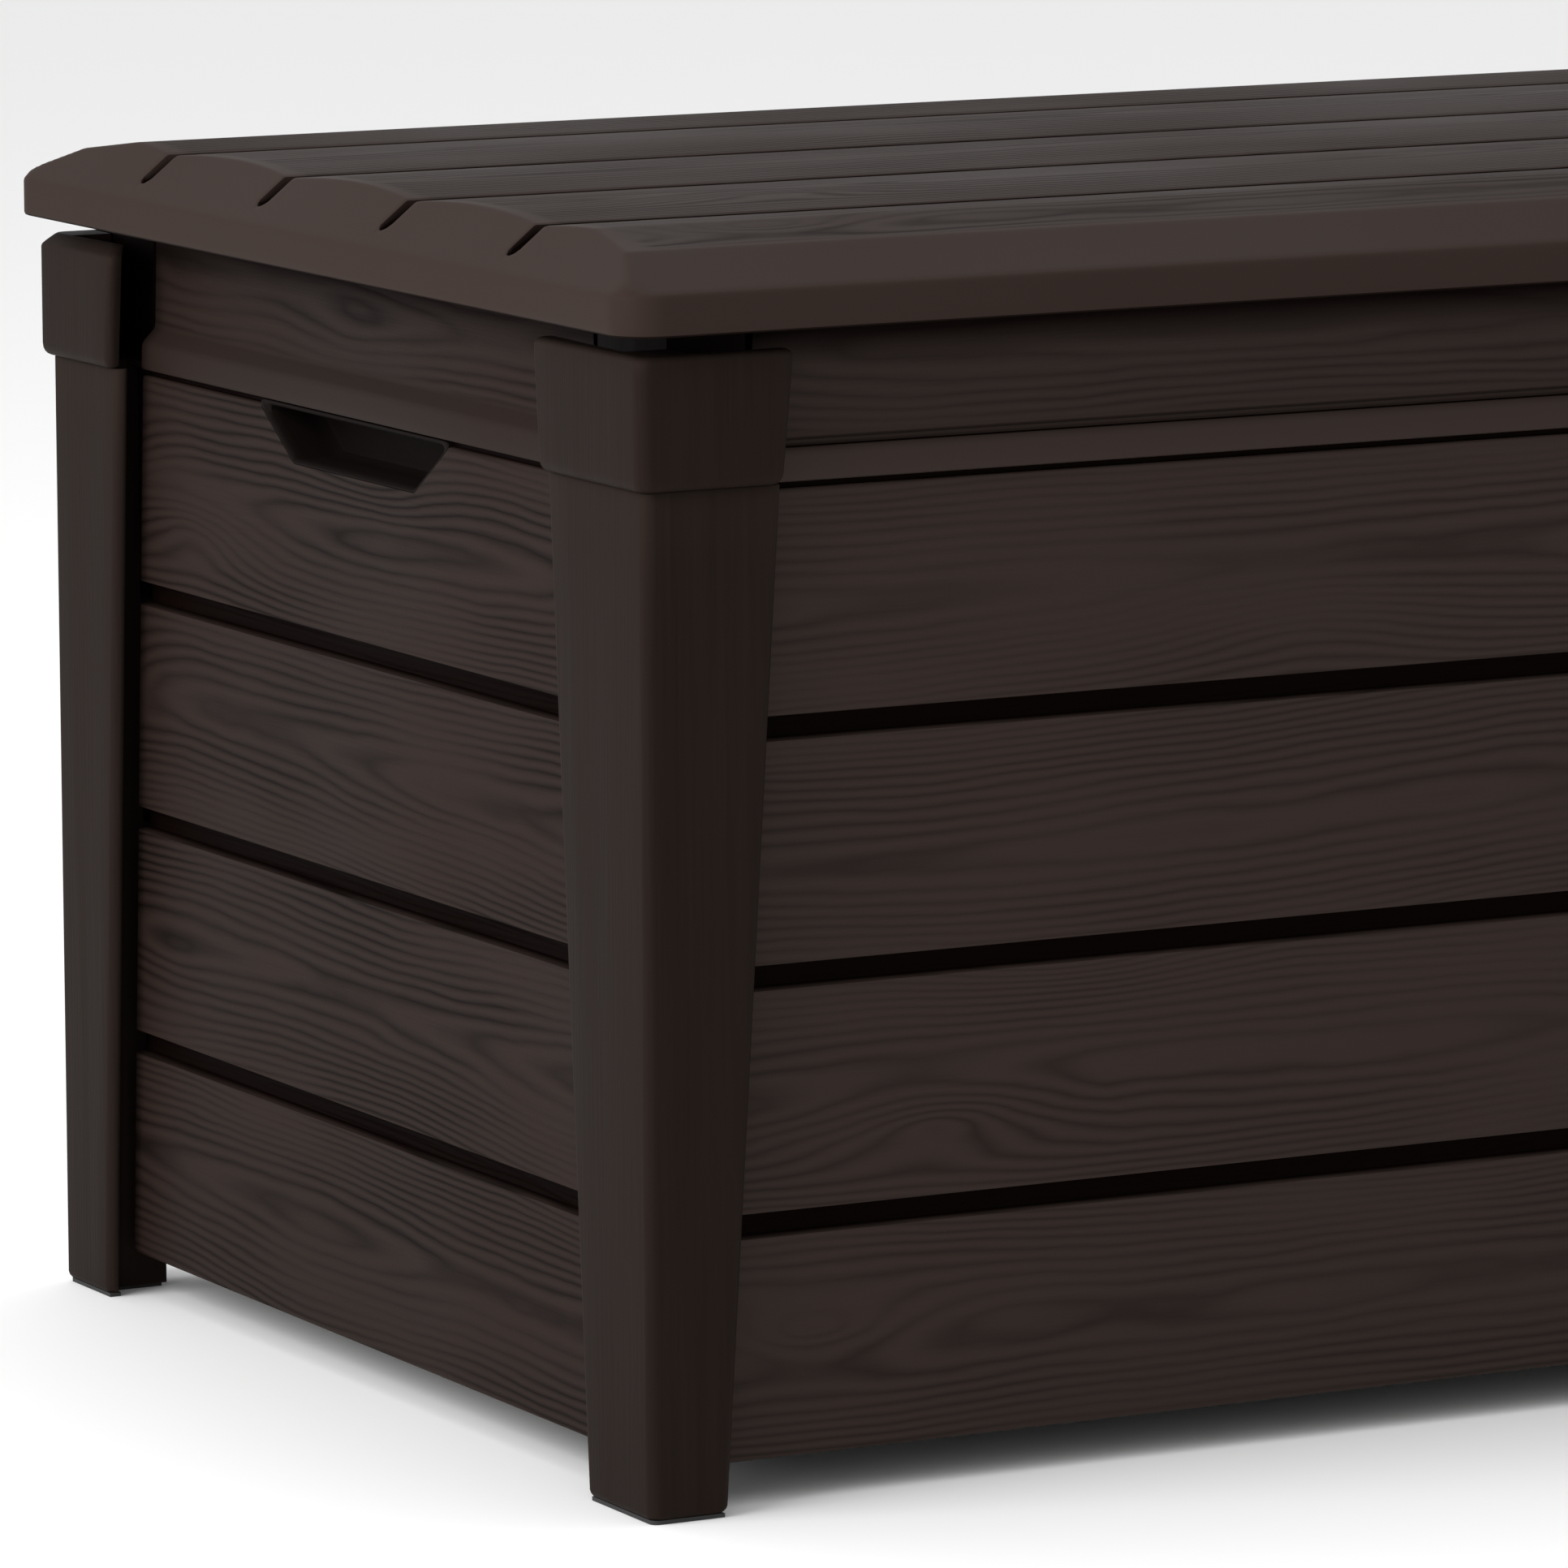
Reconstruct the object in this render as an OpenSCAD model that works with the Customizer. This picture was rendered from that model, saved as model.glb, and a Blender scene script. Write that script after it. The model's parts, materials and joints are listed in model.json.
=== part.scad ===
// Deck storage box of moulded wood-look resin: four ribbed wall panels between
// tapered corner posts, a ribbed floor in two halves, and a double-walled lid
// on three hinges with two gas struts. Millimetres, +Z up, front towards -Y.
// The origin is on the ground under the middle of the lid.

/* [Overall] */
// Length of the lid from end to end
lid_l = 1450; // [1250:10:1600]
// Depth of the lid from front to back
lid_d = 697; // [620:1:800]
// Height from the ground to the crown of the lid
box_h = 603; // [540:1:700]

/* [Lid] */
// Height of the lid's vertical skirt
skirt_h = 19.6; // [12:0.2:30]
// Rise of the lid from the top of its skirt to its crown
lid_rise = 23.3; // [18:0.1:32]
// Width of the bevel along the front and back
long_bevel = 43.5; // [30:0.5:60]
// Width of the bevel across each end
end_bevel = 27; // [20:0.5:50]
// Rise of both bevels
bevel_rise = 16.2; // [10:0.1:18]
// Crown of each plank on the lid
lid_plank_crown = 3.5; // [1:0.1:5]
// Number of planks on the lid
lid_planks = 5; // [3:1:7]
// Spacing of the lid's grooves
lid_plank_pitch = 138; // [90:1:160]
// Width of each groove in the lid
lid_groove_w = 9; // [6:0.5:14]
// Height of the groove floors above the top of the skirt
lid_groove_floor = 5.2; // [4:0.2:12]
// Corner radius of the lid in plan
lid_corner_r = 20; // [10:1:40]
// Wall thickness of the lid's outer shell
lid_wall = 3; // [2:0.5:4]
// Thickness of the liner under the lid
liner_t = 3; // [2:0.5:5]
// Height of the rubber bumpers between rim and liner
bumper_h = 2; // [1:0.5:4]
// How far the rim of the walls stands up inside the lid's skirt
rim_lap = 3.9; // [1:0.1:8]
// Side of each square steel tube in the lid
beam_w = 20; // [12:1:24]
// Wall of each steel tube in the lid
beam_t = 1.5; // [1:0.1:3]

/* [Walls] */
// How much less the lid stands out over the box at the back than at the front
back_shift = 8; // [0:0.5:8]
// Set-back of the plank faces from the lid's edge
face_inset = 34.8; // [32:0.2:40]
// Set-back of the plain band above the moulding
band_inset = 41.5; // [39:0.5:46]
// Set-back of the moulding's face
strip_inset = 34; // [31:0.2:38]
// Set-back of the inside of the walls
inner_inset = 57; // [54:0.5:66]
// Thickness of the outer skin of each wall
skin_t = 3.5; // [2.5:0.5:5]
// Thickness of the flanges round each wall
flange_t = 4; // [3:0.5:6]
// Thickness of the ribs behind each wall
rib_t = 2.5; // [2:0.5:4]
// Spacing of the ribs behind each wall
rib_pitch = 116; // [80:1:160]
// Height of the walls' lower edge above the ground
wall_bottom = 21.6; // [15:0.2:40]
// Distance from the lid's lower edge down to the moulding's lower edge
strip_drop = 75.1; // [60:0.1:100]
// Height of the moulding's flat face
strip_h = 14; // [8:0.5:24]
// Height of the shadow gap under the moulding
strip_gap = 3; // [2:0.5:5]
// Number of planks on each wall
wall_planks = 4; // [3:1:6]
// Width of the grooves between the planks of a wall
wall_groove_w = 10.8; // [6:0.2:16]
// Depth of the grooves in the walls
wall_groove_deep = 6.5; // [3:0.5:8]
// Set-back of the recessed ends of the walls, behind the posts
recess_inset = 47; // [45:0.5:50]
// How far the ledge that carries the floor stands in from the wall's inside
ledge_w = 18; // [12:1:30]
// Width of each drain notch in an end wall's lower edge
notch_w = 30; // [15:1:45]
// Height of each drain notch
notch_h = 1.3; // [1:0.1:3]
// Spacing of the drain notches
notch_pitch = 139; // [80:1:160]
// How far the middle notch sits behind the middle of the lid
notch_y = 12; // [0:1:30]

/* [Finger pulls] */
// Width of each finger pull at its top
pull_top_w = 207; // [160:1:240]
// Width of each finger pull at its bottom
pull_bottom_w = 135; // [100:1:150]
// Height of each finger pull's opening
pull_h = 24; // [18:1:40]
// Depth of each finger pull
pull_deep = 28; // [24:1:40]
// Wall of each finger pull's cup
cup_t = 2.5; // [2:0.5:4]
// How far the finger pulls sit behind the middle of the box
pull_back = 17; // [0:1:40]

/* [Corner posts] */
// Set-back of the posts' outer faces from the lid's edge
post_inset = 17; // [14:0.5:24]
// Width of a front post's wing on the end of the box, at its top
front_end_top = 102; // [80:1:120]
// Width of a front post's wing on the end of the box, at the ground
front_end_foot = 67; // [50:1:90]
// Width of a rear post's wing on the end of the box, at its top
rear_end_top = 82; // [70:1:110]
// Width of a rear post's wing on the end of the box, at the ground
rear_end_foot = 55; // [42:1:80]
// Width of every post's wing on the long side of the box, at its top
side_top = 72.5; // [62:0.5:100]
// Width of every post's wing on the long side of the box, at the ground
side_foot = 42; // [40:1:60]
// Depth of the wings from their outer face to their lip
wing_deep = 6; // [5:0.5:9]
// Radius of the posts' outer corner
post_corner_r = 6; // [5:1:12]
// Wall thickness of the posts
post_wall = 4; // [3:0.5:6]
// How far the planks of a wall reach behind the edge of a wing
wing_lap = 7; // [3:1:15]
// Thickness of the rubber pads under the posts
pad_t = 2; // [1:0.5:5]

/* [Post caps] */
// Set-back of the caps' outer faces from the lid's edge
cap_inset = 12; // [8:0.5:15]
// Gap between the caps and the lid
cap_gap = 10; // [5:0.5:20]
// Height of the caps
cap_h = 63; // [45:1:90]
// Wall thickness of the caps
cap_wall = 4; // [3:0.5:5]
// Depth of the caps from their outer face to their lip
cap_deep = 7; // [6:0.5:10]
// How much further than the post a cap reaches along the walls at its top
cap_over = 4.5; // [2:0.5:12]
// Chamfer along the caps' top edges
cap_chamfer = 6; // [3:0.5:10]

/* [Floor] */
// Thickness of the floor's plate
floor_t = 4; // [3:0.5:6]
// Full depth of the floor with its ribs
floor_h = 26; // [16:1:40]
// Spacing of the floor's ribs
floor_rib_pitch = 110; // [80:1:160]
// Width of the tray that joins the floor halves
joiner_w = 80; // [60:1:120]

/* [Hinges] */
// Set-back of the hinge axis from the lid's rear edge
hinge_inset = 9.5; // [9.5:0.5:11]
// Distance of the hinge axis below the underside of the liner
hinge_drop = 9; // [9:0.5:10]
// Distance of the outer hinges from the middle
hinge_x = 550; // [400:10:600]
// Width of each hinge
hinge_w = 80; // [60:1:120]
// Radius of the hinge pins
hinge_pin_r = 3; // [2:0.5:3.5]
// Radius of the hinge knuckles
knuckle_r = 6; // [5:0.1:6]

/* [Gas struts] */
// Opening angle of the lid in degrees
open_angle = 90; // [80:1:92]
// Distance from the wall's inside to the middle of a strut
strut_off = 18; // [18:1:30]
// Lid pivot of the strut, forward of the hinge axis
strut_lid_y = 84; // [80:1:100]
// Lid pivot of the strut, below the hinge axis
strut_lid_z = 12; // [8:1:14]
// Wall pivot of the strut, forward of the hinge axis
strut_wall_y = 240; // [236:1:260]
// Wall pivot of the strut, below the hinge axis
strut_wall_z = 252; // [240:1:260]
// Outer radius of the strut's tube
tube_r = 9; // [8:0.5:10]
// Length of the strut's tube
tube_l = 158; // [150:1:170]
// Wall of the strut's tube
tube_t = 1.5; // [1:0.1:2]
// Radius of the strut's rod
rod_r = 4; // [3:0.5:5]
// Length of the strut's rod
rod_l = 246; // [230:1:250]
// Radius of the studs at both strut pivots
stud_r = 3; // [2.5:0.5:4]

/* [Padlock eye] */
// Radius of the padlock hole
lock_r = 5.5; // [4:0.5:7]
// Width of the lock plates
lock_w = 40; // [30:1:60]
// Distance of the padlock hole below the lid's lower edge
lock_drop = 22; // [16:1:30]

/* [Fasteners] */
// Radius of the screws
screw_r = 2; // [1.5:0.1:2.5]
// Length of the screws under the head
screw_l = 12; // [8:1:16]

/* [Fits] */
// Radial clearance of pins and studs that turn in a bore
running = 0.05; // [0.02:0.01:0.1]
// Gap between parts that are assembled loosely
loose = 0.5; // [0.3:0.1:1]

/* [Hidden] */
$fn = 48;

resin = [0.17, 0.14, 0.125];
resin_inside = [0.13, 0.11, 0.10];
black = [0.05, 0.05, 0.055];
steel = [0.62, 0.63, 0.65];
dark_steel = [0.10, 0.10, 0.11];

// Cuts run this far past the surfaces they open
past = 1;

hx = lid_l / 2;
hy = lid_d / 2;

// Levels, from the crown of the lid down to the ground
z_skirt_top = box_h - lid_rise;
z_lid = z_skirt_top - skirt_h;
z_rim = z_lid + rim_lap;
z_liner = z_rim + bumper_h;
z_hinge = z_liner - hinge_drop;
z_cap_top = z_lid - cap_gap;
z_cap = z_cap_top - cap_h;
z_strip = z_lid - strip_drop;
z_band = z_strip + strip_h + band_inset - strip_inset;
z_planks = z_strip - strip_gap;
z_floor = wall_bottom + flange_t;
plank_h = (z_planks - wall_bottom - (wall_planks - 1) * wall_groove_w) / wall_planks;

y_hinge = hy - hinge_inset;
y_band = hy + back_shift - band_inset;
x_strut = hx - inner_inset - strut_off;

// [foot, top] widths of the wings of the posts
front_end = [front_end_foot, front_end_top];
rear_end = [rear_end_foot, rear_end_top];
long_side = [side_foot, side_top];

// The box is deeper than the lid and its middle lies behind the lid's middle
body_d = lid_d + back_shift;
body_y = back_shift / 2;

end_wall_l = body_d - 2 * inner_inset - 2 * loose;
long_wall_l = lid_l - 2 * inner_inset - 2 * loose;

pilot_r = screw_r + running;
hole_r = screw_r + 0.3;
head_r = screw_r * 1.5;
head_h = screw_r;

// ---------------------------------------------------------------- helpers

// Extrudes a (y, z) outline along X, centred
module along_x(len) { rotate([90, 0, 90]) linear_extrude(len, center = true) children(); }

// Extrudes an (x, z) outline along Y, centred
module along_y(len) { rotate([90, 0, 0]) linear_extrude(len, center = true) children(); }

// A block with rounded vertical edges, centred in plan, from z0 to z1
module rounded_block(l, d, r, z0, z1) {
    translate([0, 0, z0]) {
        translate([-l / 2 + r, -d / 2, 0]) cube([l - 2 * r, d, z1 - z0]);
        translate([-l / 2, -d / 2 + r, 0]) cube([l, d - 2 * r, z1 - z0]);
        for (sx = [-1, 1], sy = [-1, 1])
            translate([sx * (l / 2 - r), sy * (d / 2 - r), 0]) cylinder(r = r, h = z1 - z0);
    }
}

// A pan-head screw, its head above z = 0 and its shank below
module screw() {
    cylinder(r = head_r, h = head_h);
    translate([0, 0, -screw_l]) cylinder(r = screw_r, h = screw_l);
}

// Moves a wall built along X, its outside towards -Y, to each side of the box
module at_front() { translate([0, -hy, 0]) children(); }
module at_back() { translate([0, hy + back_shift, 0]) rotate([0, 0, 180]) children(); }
module at_left() { translate([-hx, body_y, 0]) rotate([0, 0, -90]) children(); }
module right_side() { mirror([1, 0, 0]) children(); }
module rear_side() { translate([0, back_shift, 0]) mirror([0, 1, 0]) children(); }

// Where a place y of the whole object lies along an end wall's own X
function end_x(y) = body_y - y;

// Moves a corner built from the lid's front left corner to that corner
module at_corner() { translate([-hx, -hy, 0]) children(); }

// ---------------------------------------------------------------- the lid

// Half outline of a bevelled side as (set-back, height): skirt, bevel, rise to the crown
crown_run = 1.15;
crown_soft = 0.4;
function side_rise(bevel) = [
    [0, z_skirt_top], [bevel, z_skirt_top + bevel_rise],
    [bevel * (1 + crown_run), box_h - crown_soft], [bevel * (2 + 2 * crown_run), box_h + past]];

// Whole outline across the lid, half wide, from z0 up
function lid_envelope(half, bevel, z0) = concat(
    [[-half, z0]],
    [for (p = side_rise(bevel)) [-half + p.x, p.y]],
    [for (i = [3:-1:0]) let (p = side_rise(bevel)[i]) [half - p.x, p.y]],
    [[half, z0]]);

groove_x = (lid_planks - 2) / 2 * lid_plank_pitch;
z_plank_edge = box_h - lid_plank_crown;
z_groove = z_skirt_top + lid_groove_floor;
plank_facets = 6;

// Crowned top of one plank between two places
function plank_top(a, b) = [for (k = [0:plank_facets]) let (u = 2 * k / plank_facets - 1)
    [a + (b - a) * k / plank_facets, z_plank_edge + lid_plank_crown * (1 - u * u)]];

// Rounded floor of one groove, half_w wide each way
function groove_floor(c, half_w) = [
    [c - 0.8 * half_w, z_groove + half_w / 2], [c - 0.35 * half_w, z_groove],
    [c + 0.35 * half_w, z_groove], [c + 0.8 * half_w, z_groove + half_w / 2]];

// Planks and grooves across the lid; grow widens the grooves, for the inside
function lid_planks_outline(half, z0, grow) =
    let (w = lid_groove_w / 2 + grow, n = lid_planks)
    concat([[-half, z0]],
        [for (i = [0:n - 1]) let (
            a = i == 0 ? -half : -groove_x + (i - 1) * lid_plank_pitch + w,
            b = i == n - 1 ? half : -groove_x + i * lid_plank_pitch - w)
            each concat(plank_top(a, b), i == n - 1 ? [] : groove_floor(b + w, w))],
        [[half, z0]]);

// The lid's form, moved in by d on every side and down by d
module lid_form(d) {
    z0 = z_lid - (d > 0 ? past : 0);
    translate([0, 0, -d]) intersection() {
        along_y(lid_d) polygon(lid_envelope(hx - d, end_bevel, z0));
        along_x(lid_l) polygon(lid_envelope(hy - d, long_bevel, z0));
        along_x(lid_l) polygon(lid_planks_outline(hy + past, z0, d));
        rounded_block(lid_l - 2 * d, lid_d - 2 * d, lid_corner_r - d, z0, box_h + past);
    }
}

// Screw places along the front and back edges of the liner
boss_inset = 27;
boss_r = 6;
boss_end = 85;
boss_rows = 4;
function liner_screw_places() = [for (i = [0:boss_rows - 1], s = [-1, 1])
    [-hx + boss_end + i * (lid_l - 2 * boss_end) / (boss_rows - 1), s * (hy - boss_inset)]];

module lid_shell() {
    color(resin) difference() {
        union() {
            difference() {
                lid_form(0);
                lid_form(lid_wall);
            }
            intersection() {
                lid_form(lid_wall / 2);
                for (p = liner_screw_places())
                    translate([p.x, p.y, z_liner + liner_t]) cylinder(r = boss_r, h = lid_rise * 2);
            }
        }
        for (p = liner_screw_places())
            translate([p.x, p.y, z_liner + liner_t - past]) cylinder(r = pilot_r, h = screw_l - liner_t + past);
    }
}

beam_y = lid_plank_pitch;
beam_end = 60;
beam_l = lid_l - 2 * beam_end;

// Steel square tube inside the lid
module lid_beam(side) {
    color(steel) translate([0, side * beam_y, z_liner + liner_t + beam_w / 2]) difference() {
        cube([beam_l, beam_w, beam_w], center = true);
        cube([beam_l + 2 * past, beam_w - 2 * beam_t, beam_w - 2 * beam_t], center = true);
    }
}

// Liner plate with the channels that hold the steel tubes
channel_t = 2;
channel_h = 8;
module lid_liner() {
    gap = lid_wall + loose;
    color(resin_inside) difference() {
        union() {
            rounded_block(lid_l - 2 * gap, lid_d - 2 * gap, lid_corner_r - gap, z_liner, z_liner + liner_t);
            for (side = [-1, 1], s = [-1, 1])
                translate([0, side * beam_y + s * (beam_w / 2 + loose / 2 + channel_t / 2),
                           z_liner + liner_t + channel_h / 2])
                    cube([beam_l, channel_t, channel_h], center = true);
        }
        for (p = liner_screw_places())
            translate([p.x, p.y, z_liner - past]) cylinder(r = hole_r, h = liner_t + 2 * past);
        for (p = leaf_screw_places())
            translate([p.x, p.y, z_liner - past]) cylinder(r = pilot_r, h = liner_t + 2 * past);
        for (p = lid_bracket_screw_places(), s = [-1, 1])
            translate([s * p.x, p.y, z_liner - past]) cylinder(r = pilot_r, h = liner_t + 2 * past);
        for (p = tongue_screw_places())
            translate([p.x, p.y, z_liner - past]) cylinder(r = pilot_r, h = liner_t + 2 * past);
    }
}

// Rubber bumpers that rest on the rim
bumper_r = 6;
bumper_place = 0.62;
module lid_bumpers() {
    rim_mid = (band_inset + inner_inset) / 2;
    color(black) translate([0, 0, z_rim]) {
        for (m = [-1, 1], y = [-hy + rim_mid, hy + back_shift - rim_mid])
            translate([m * bumper_place * hx, y, 0]) cylinder(r = bumper_r, h = bumper_h);
        for (s = [-1, 1])
            translate([s * (hx - rim_mid), 0, 0]) cylinder(r = bumper_r, h = bumper_h);
    }
}

// ---------------------------------------------------------------- hinges

hinge_places = [-hinge_x, 0, hinge_x];
leaf_t = 3;
knuckle_gap = 1;
knuckle_w = hinge_w / 4;
leaf_front = 22;
leaf_back = 5.5;
hinge_screw_place = 0.38;

function leaf_screw_places() = [for (h = hinge_places, s = [-1, 1])
    [h + s * hinge_w * hinge_screw_place, y_hinge - leaf_front / 2]];

// Lid half of a hinge: a leaf under the liner and the middle knuckle
module hinge_leaf(x) {
    mid_w = hinge_w - 2 * knuckle_w - 2 * knuckle_gap;
    color(dark_steel) translate([x, y_hinge, z_hinge]) difference() {
        union() {
            translate([-hinge_w / 2, -leaf_front, hinge_drop - leaf_t])
                cube([hinge_w, leaf_front + leaf_back, leaf_t]);
            translate([-mid_w / 2, -knuckle_r, 0]) cube([mid_w, 2 * knuckle_r, hinge_drop - leaf_t / 2]);
            rotate([0, 90, 0]) cylinder(r = knuckle_r, h = mid_w, center = true);
        }
        rotate([0, 90, 0]) cylinder(r = hinge_pin_r + running, h = hinge_w, center = true);
        for (p = leaf_screw_places())
            translate([p.x - x, p.y - y_hinge, hinge_drop - leaf_t - past])
                cylinder(r = hole_r, h = leaf_t + 2 * past);
    }
}

plate_t = 3;
bracket_low = 42;
bracket_high = 5;
bracket_screw_low = 35;
bracket_screw_pitch = 24;
bracket_screw_middle = 0.1;
function bracket_screw_places() = [for (h = hinge_places, s = [-1, 1], t = [0, 1])
    [h + s * hinge_w * (t == 0 ? hinge_screw_place : bracket_screw_middle),
     z_hinge - bracket_screw_low + t * bracket_screw_pitch]];

// Body half of a hinge: a plate on the rear band and two arms to the outer knuckles
module hinge_bracket(x) {
    reach = band_inset - hinge_inset - back_shift;
    color(dark_steel) difference() {
        translate([x, y_hinge, z_hinge]) difference() {
            union() {
                translate([-hinge_w / 2, -reach, -bracket_low])
                    cube([hinge_w, plate_t, bracket_low - bracket_high]);
                for (s = [-1, 1]) translate([s * (hinge_w - knuckle_w) / 2, 0, 0]) {
                    along_x(knuckle_w) polygon([
                        [-reach + plate_t / 2, -bracket_low / 2], [-reach + plate_t / 2, -bracket_high],
                        [-knuckle_r * 0.6, knuckle_r * 0.7], [knuckle_r * 0.6, -knuckle_r * 0.7]]);
                    rotate([0, 90, 0]) cylinder(r = knuckle_r, h = knuckle_w, center = true);
                }
            }
            rotate([0, 90, 0]) cylinder(r = hinge_pin_r + running, h = hinge_w + 2 * past, center = true);
        }
        for (p = bracket_screw_places())
            translate([p.x, y_band - past, p.y]) rotate([-90, 0, 0])
                cylinder(r = hole_r, h = plate_t + 2 * past);
    }
}

pin_head_h = 1.5;
module hinge_pins() {
    color(steel) for (x = hinge_places) translate([x, y_hinge, z_hinge]) rotate([0, 90, 0]) {
        for (s = [-1, 1]) translate([0, 0, s * (hinge_w / 2 + pin_head_h / 2 + loose / 2)])
            cylinder(r = hinge_pin_r + pin_head_h, h = pin_head_h, center = true);
        cylinder(r = hinge_pin_r, h = hinge_w + loose + 2 * pin_head_h, center = true);
    }
}

// ---------------------------------------------------------------- padlock eye

lock_gap = 2;
z_lock = z_lid - lock_drop;
tongue_set = 14.5;
tongue_y = -hy + tongue_set;
staple_y = tongue_y + plate_t + lock_gap;
tongue_flange = 11;
lock_below = 14;
lock_screw_place = 0.33;
function tongue_screw_places() =
    [for (s = [-1, 1]) [s * lock_w * lock_screw_place, tongue_y - tongue_flange / 2]];
function staple_screw_places() = [for (s = [-1, 1]) [s * lock_w * lock_screw_place, z_lock]];

// Plate that hangs from the lid, drilled for a padlock
module lock_tongue() {
    color(dark_steel) difference() {
        union() {
            translate([-lock_w / 2, tongue_y, z_lock - lock_below])
                cube([lock_w, plate_t, z_liner - z_lock + lock_below]);
            translate([-lock_w / 2, tongue_y - tongue_flange + plate_t, z_liner - plate_t])
                cube([lock_w, tongue_flange, plate_t]);
        }
        translate([0, tongue_y - past, z_lock]) rotate([-90, 0, 0]) cylinder(r = lock_r, h = plate_t + 2 * past);
        for (p = tongue_screw_places())
            translate([p.x, p.y, z_liner - plate_t - past]) cylinder(r = hole_r, h = plate_t + 2 * past);
    }
}

// Bracket on the front band whose upturned ear stands behind the tongue
module lock_staple() {
    base = -hy + band_inset;
    ear_low = z_lock - lock_below;
    color(dark_steel) difference() {
        union() {
            translate([-lock_w / 2, base - plate_t, ear_low]) cube([lock_w, plate_t, 2 * lock_below]);
            translate([-lock_w / 2, staple_y, ear_low]) cube([lock_w, base - staple_y, plate_t]);
            translate([-lock_w / 4, staple_y, ear_low]) cube([lock_w / 2, plate_t, 2 * lock_below]);
        }
        translate([0, staple_y - past, z_lock]) rotate([-90, 0, 0]) cylinder(r = lock_r, h = plate_t + 2 * past);
        for (p = staple_screw_places())
            translate([p.x, base - plate_t - past, p.y]) rotate([-90, 0, 0])
                cylinder(r = hole_r, h = plate_t + 2 * past);
    }
}

// ---------------------------------------------------------------- walls

// Outer outline of a wall as (set-back, height), moved in by d, from the bottom up
groove_flat = 0.45;
wall_slope = 0.6;
function groove_centre(i) = wall_bottom + (i + 1) * plank_h + (i + 0.5) * wall_groove_w;
function wall_outline(d) = concat(
    [[face_inset + d, wall_bottom]],
    [for (i = [0:wall_planks - 2]) let (c = groove_centre(i), w = wall_groove_w / 2 + d * wall_slope) each [
        [face_inset + d, c - w], [face_inset + wall_groove_deep + d, c - w * groove_flat],
        [face_inset + wall_groove_deep + d, c + w * groove_flat], [face_inset + d, c + w]]],
    [[face_inset + d, z_planks - d], [face_inset + wall_groove_deep / 2 + d, z_planks - d * wall_slope],
     [face_inset + wall_groove_deep / 2 + d, z_strip + d * wall_slope],
     [strip_inset + d, z_strip + d * wall_slope], [strip_inset + d, z_strip + strip_h - d * (1 - wall_slope)],
     [band_inset + d, z_band - d * (1 - wall_slope)], [band_inset + d, z_rim]]);

function reversed(v) = [for (i = [len(v) - 1:-1:0]) v[i]];

// Everything between the outer outline and the inside of the wall
module wall_fill(len) {
    along_x(len) polygon(concat(wall_outline(0), [[inner_inset, z_rim], [inner_inset, wall_bottom]]));
}

// Outline of the plank field, moved in by d; its ends lean with the wings of the posts.
// ends gives the [foot, top] widths of the wings at the wall's -X and +X end.
function field_end(z, wing) = wing[0] + (wing[1] - wing[0]) * z / z_cap + post_inset - wing_lap;
module field(half, ends, d) {
    translate([0, inner_inset, 0]) rotate([90, 0, 0]) linear_extrude(inner_inset) polygon([
        [-half + field_end(0, ends[0]) + d, 0], [-half + field_end(box_h, ends[0]) + d, box_h],
        [half - field_end(box_h, ends[1]) - d, box_h], [half - field_end(0, ends[1]) - d, 0]]);
}

// A ribbed wall of length len on a side of the box that is 2 * half long; pads are
// [x, z, w, h] blocks behind the skin, and ledge_l is the length of its ledge
module wall(len, half, ends, ledge_l, pads) {
    intersection() {
        field(half, ends, 0);
        along_x(len) polygon(concat(wall_outline(0), reversed(wall_outline(skin_t))));
    }
    intersection() {
        difference() {
            field(half, ends, 0);
            field(half, ends, flange_t);
        }
        wall_fill(len);
    }
    intersection() {
        difference() {
            wall_fill(len);
            translate([-half, 0, 0]) cube([2 * half, recess_inset, z_rim - flange_t]);
        }
        difference() {
            translate([-half, 0, 0]) cube([2 * half, recess_inset + skin_t, box_h]);
            field(half, ends, flange_t / 2);
        }
    }
    intersection() {
        difference() {
            wall_fill(len);
            difference() {
                translate([-half, 0, 0]) cube([2 * half, recess_inset, z_rim - flange_t]);
                field(half, ends, flange_t / 2);
            }
        }
        union() {
            for (s = [-1, 1])
                translate([s * (len - flange_t) / 2 - flange_t / 2, 0, wall_bottom])
                    cube([flange_t, inner_inset, box_h]);
            translate([-len / 2, 0, z_rim - flange_t]) cube([len, inner_inset, flange_t]);
            n = floor(len / rib_pitch / 2);
            for (i = [-n:n - 1])
                translate([(i + 0.5) * rib_pitch - rib_t / 2, 0, wall_bottom]) cube([rib_t, inner_inset, box_h]);
            for (p = pads) translate([p[0] - p[2] / 2, 0, p[1] - p[3] / 2]) cube([p[2], inner_inset, p[3]]);
        }
    }
    translate([-len / 2, recess_inset, wall_bottom]) cube([len, inner_inset - recess_inset, flange_t]);
    translate([-ledge_l / 2, recess_inset, wall_bottom])
        cube([ledge_l, inner_inset + ledge_w - recess_inset, flange_t]);
    intersection() {
        field(half, ends, 0);
        translate([-len / 2, face_inset, wall_bottom]) cube([len, inner_inset - face_inset, flange_t]);
    }
}

// Pilot holes through the end flanges of a wall, for the screws into the posts
corner_screw_inset = 53.7;
head_room = 4;
end_wall_raise = 24;
function corner_screw_heights(raise) =
    [for (z = [wall_bottom + 60, (wall_bottom + z_strip) / 2, z_strip - 40]) z + raise];
module end_holes(len, raise) {
    for (s = [-1, 1], z = corner_screw_heights(raise))
        translate([s * len / 2, corner_screw_inset, z]) rotate([0, s * 90, 0]) {
            cylinder(r = hole_r, h = 2 * (flange_t + past), center = true);
            translate([0, 0, -flange_t - head_room]) cylinder(r = head_r + 2 * running, h = head_room);
        }
}

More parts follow.
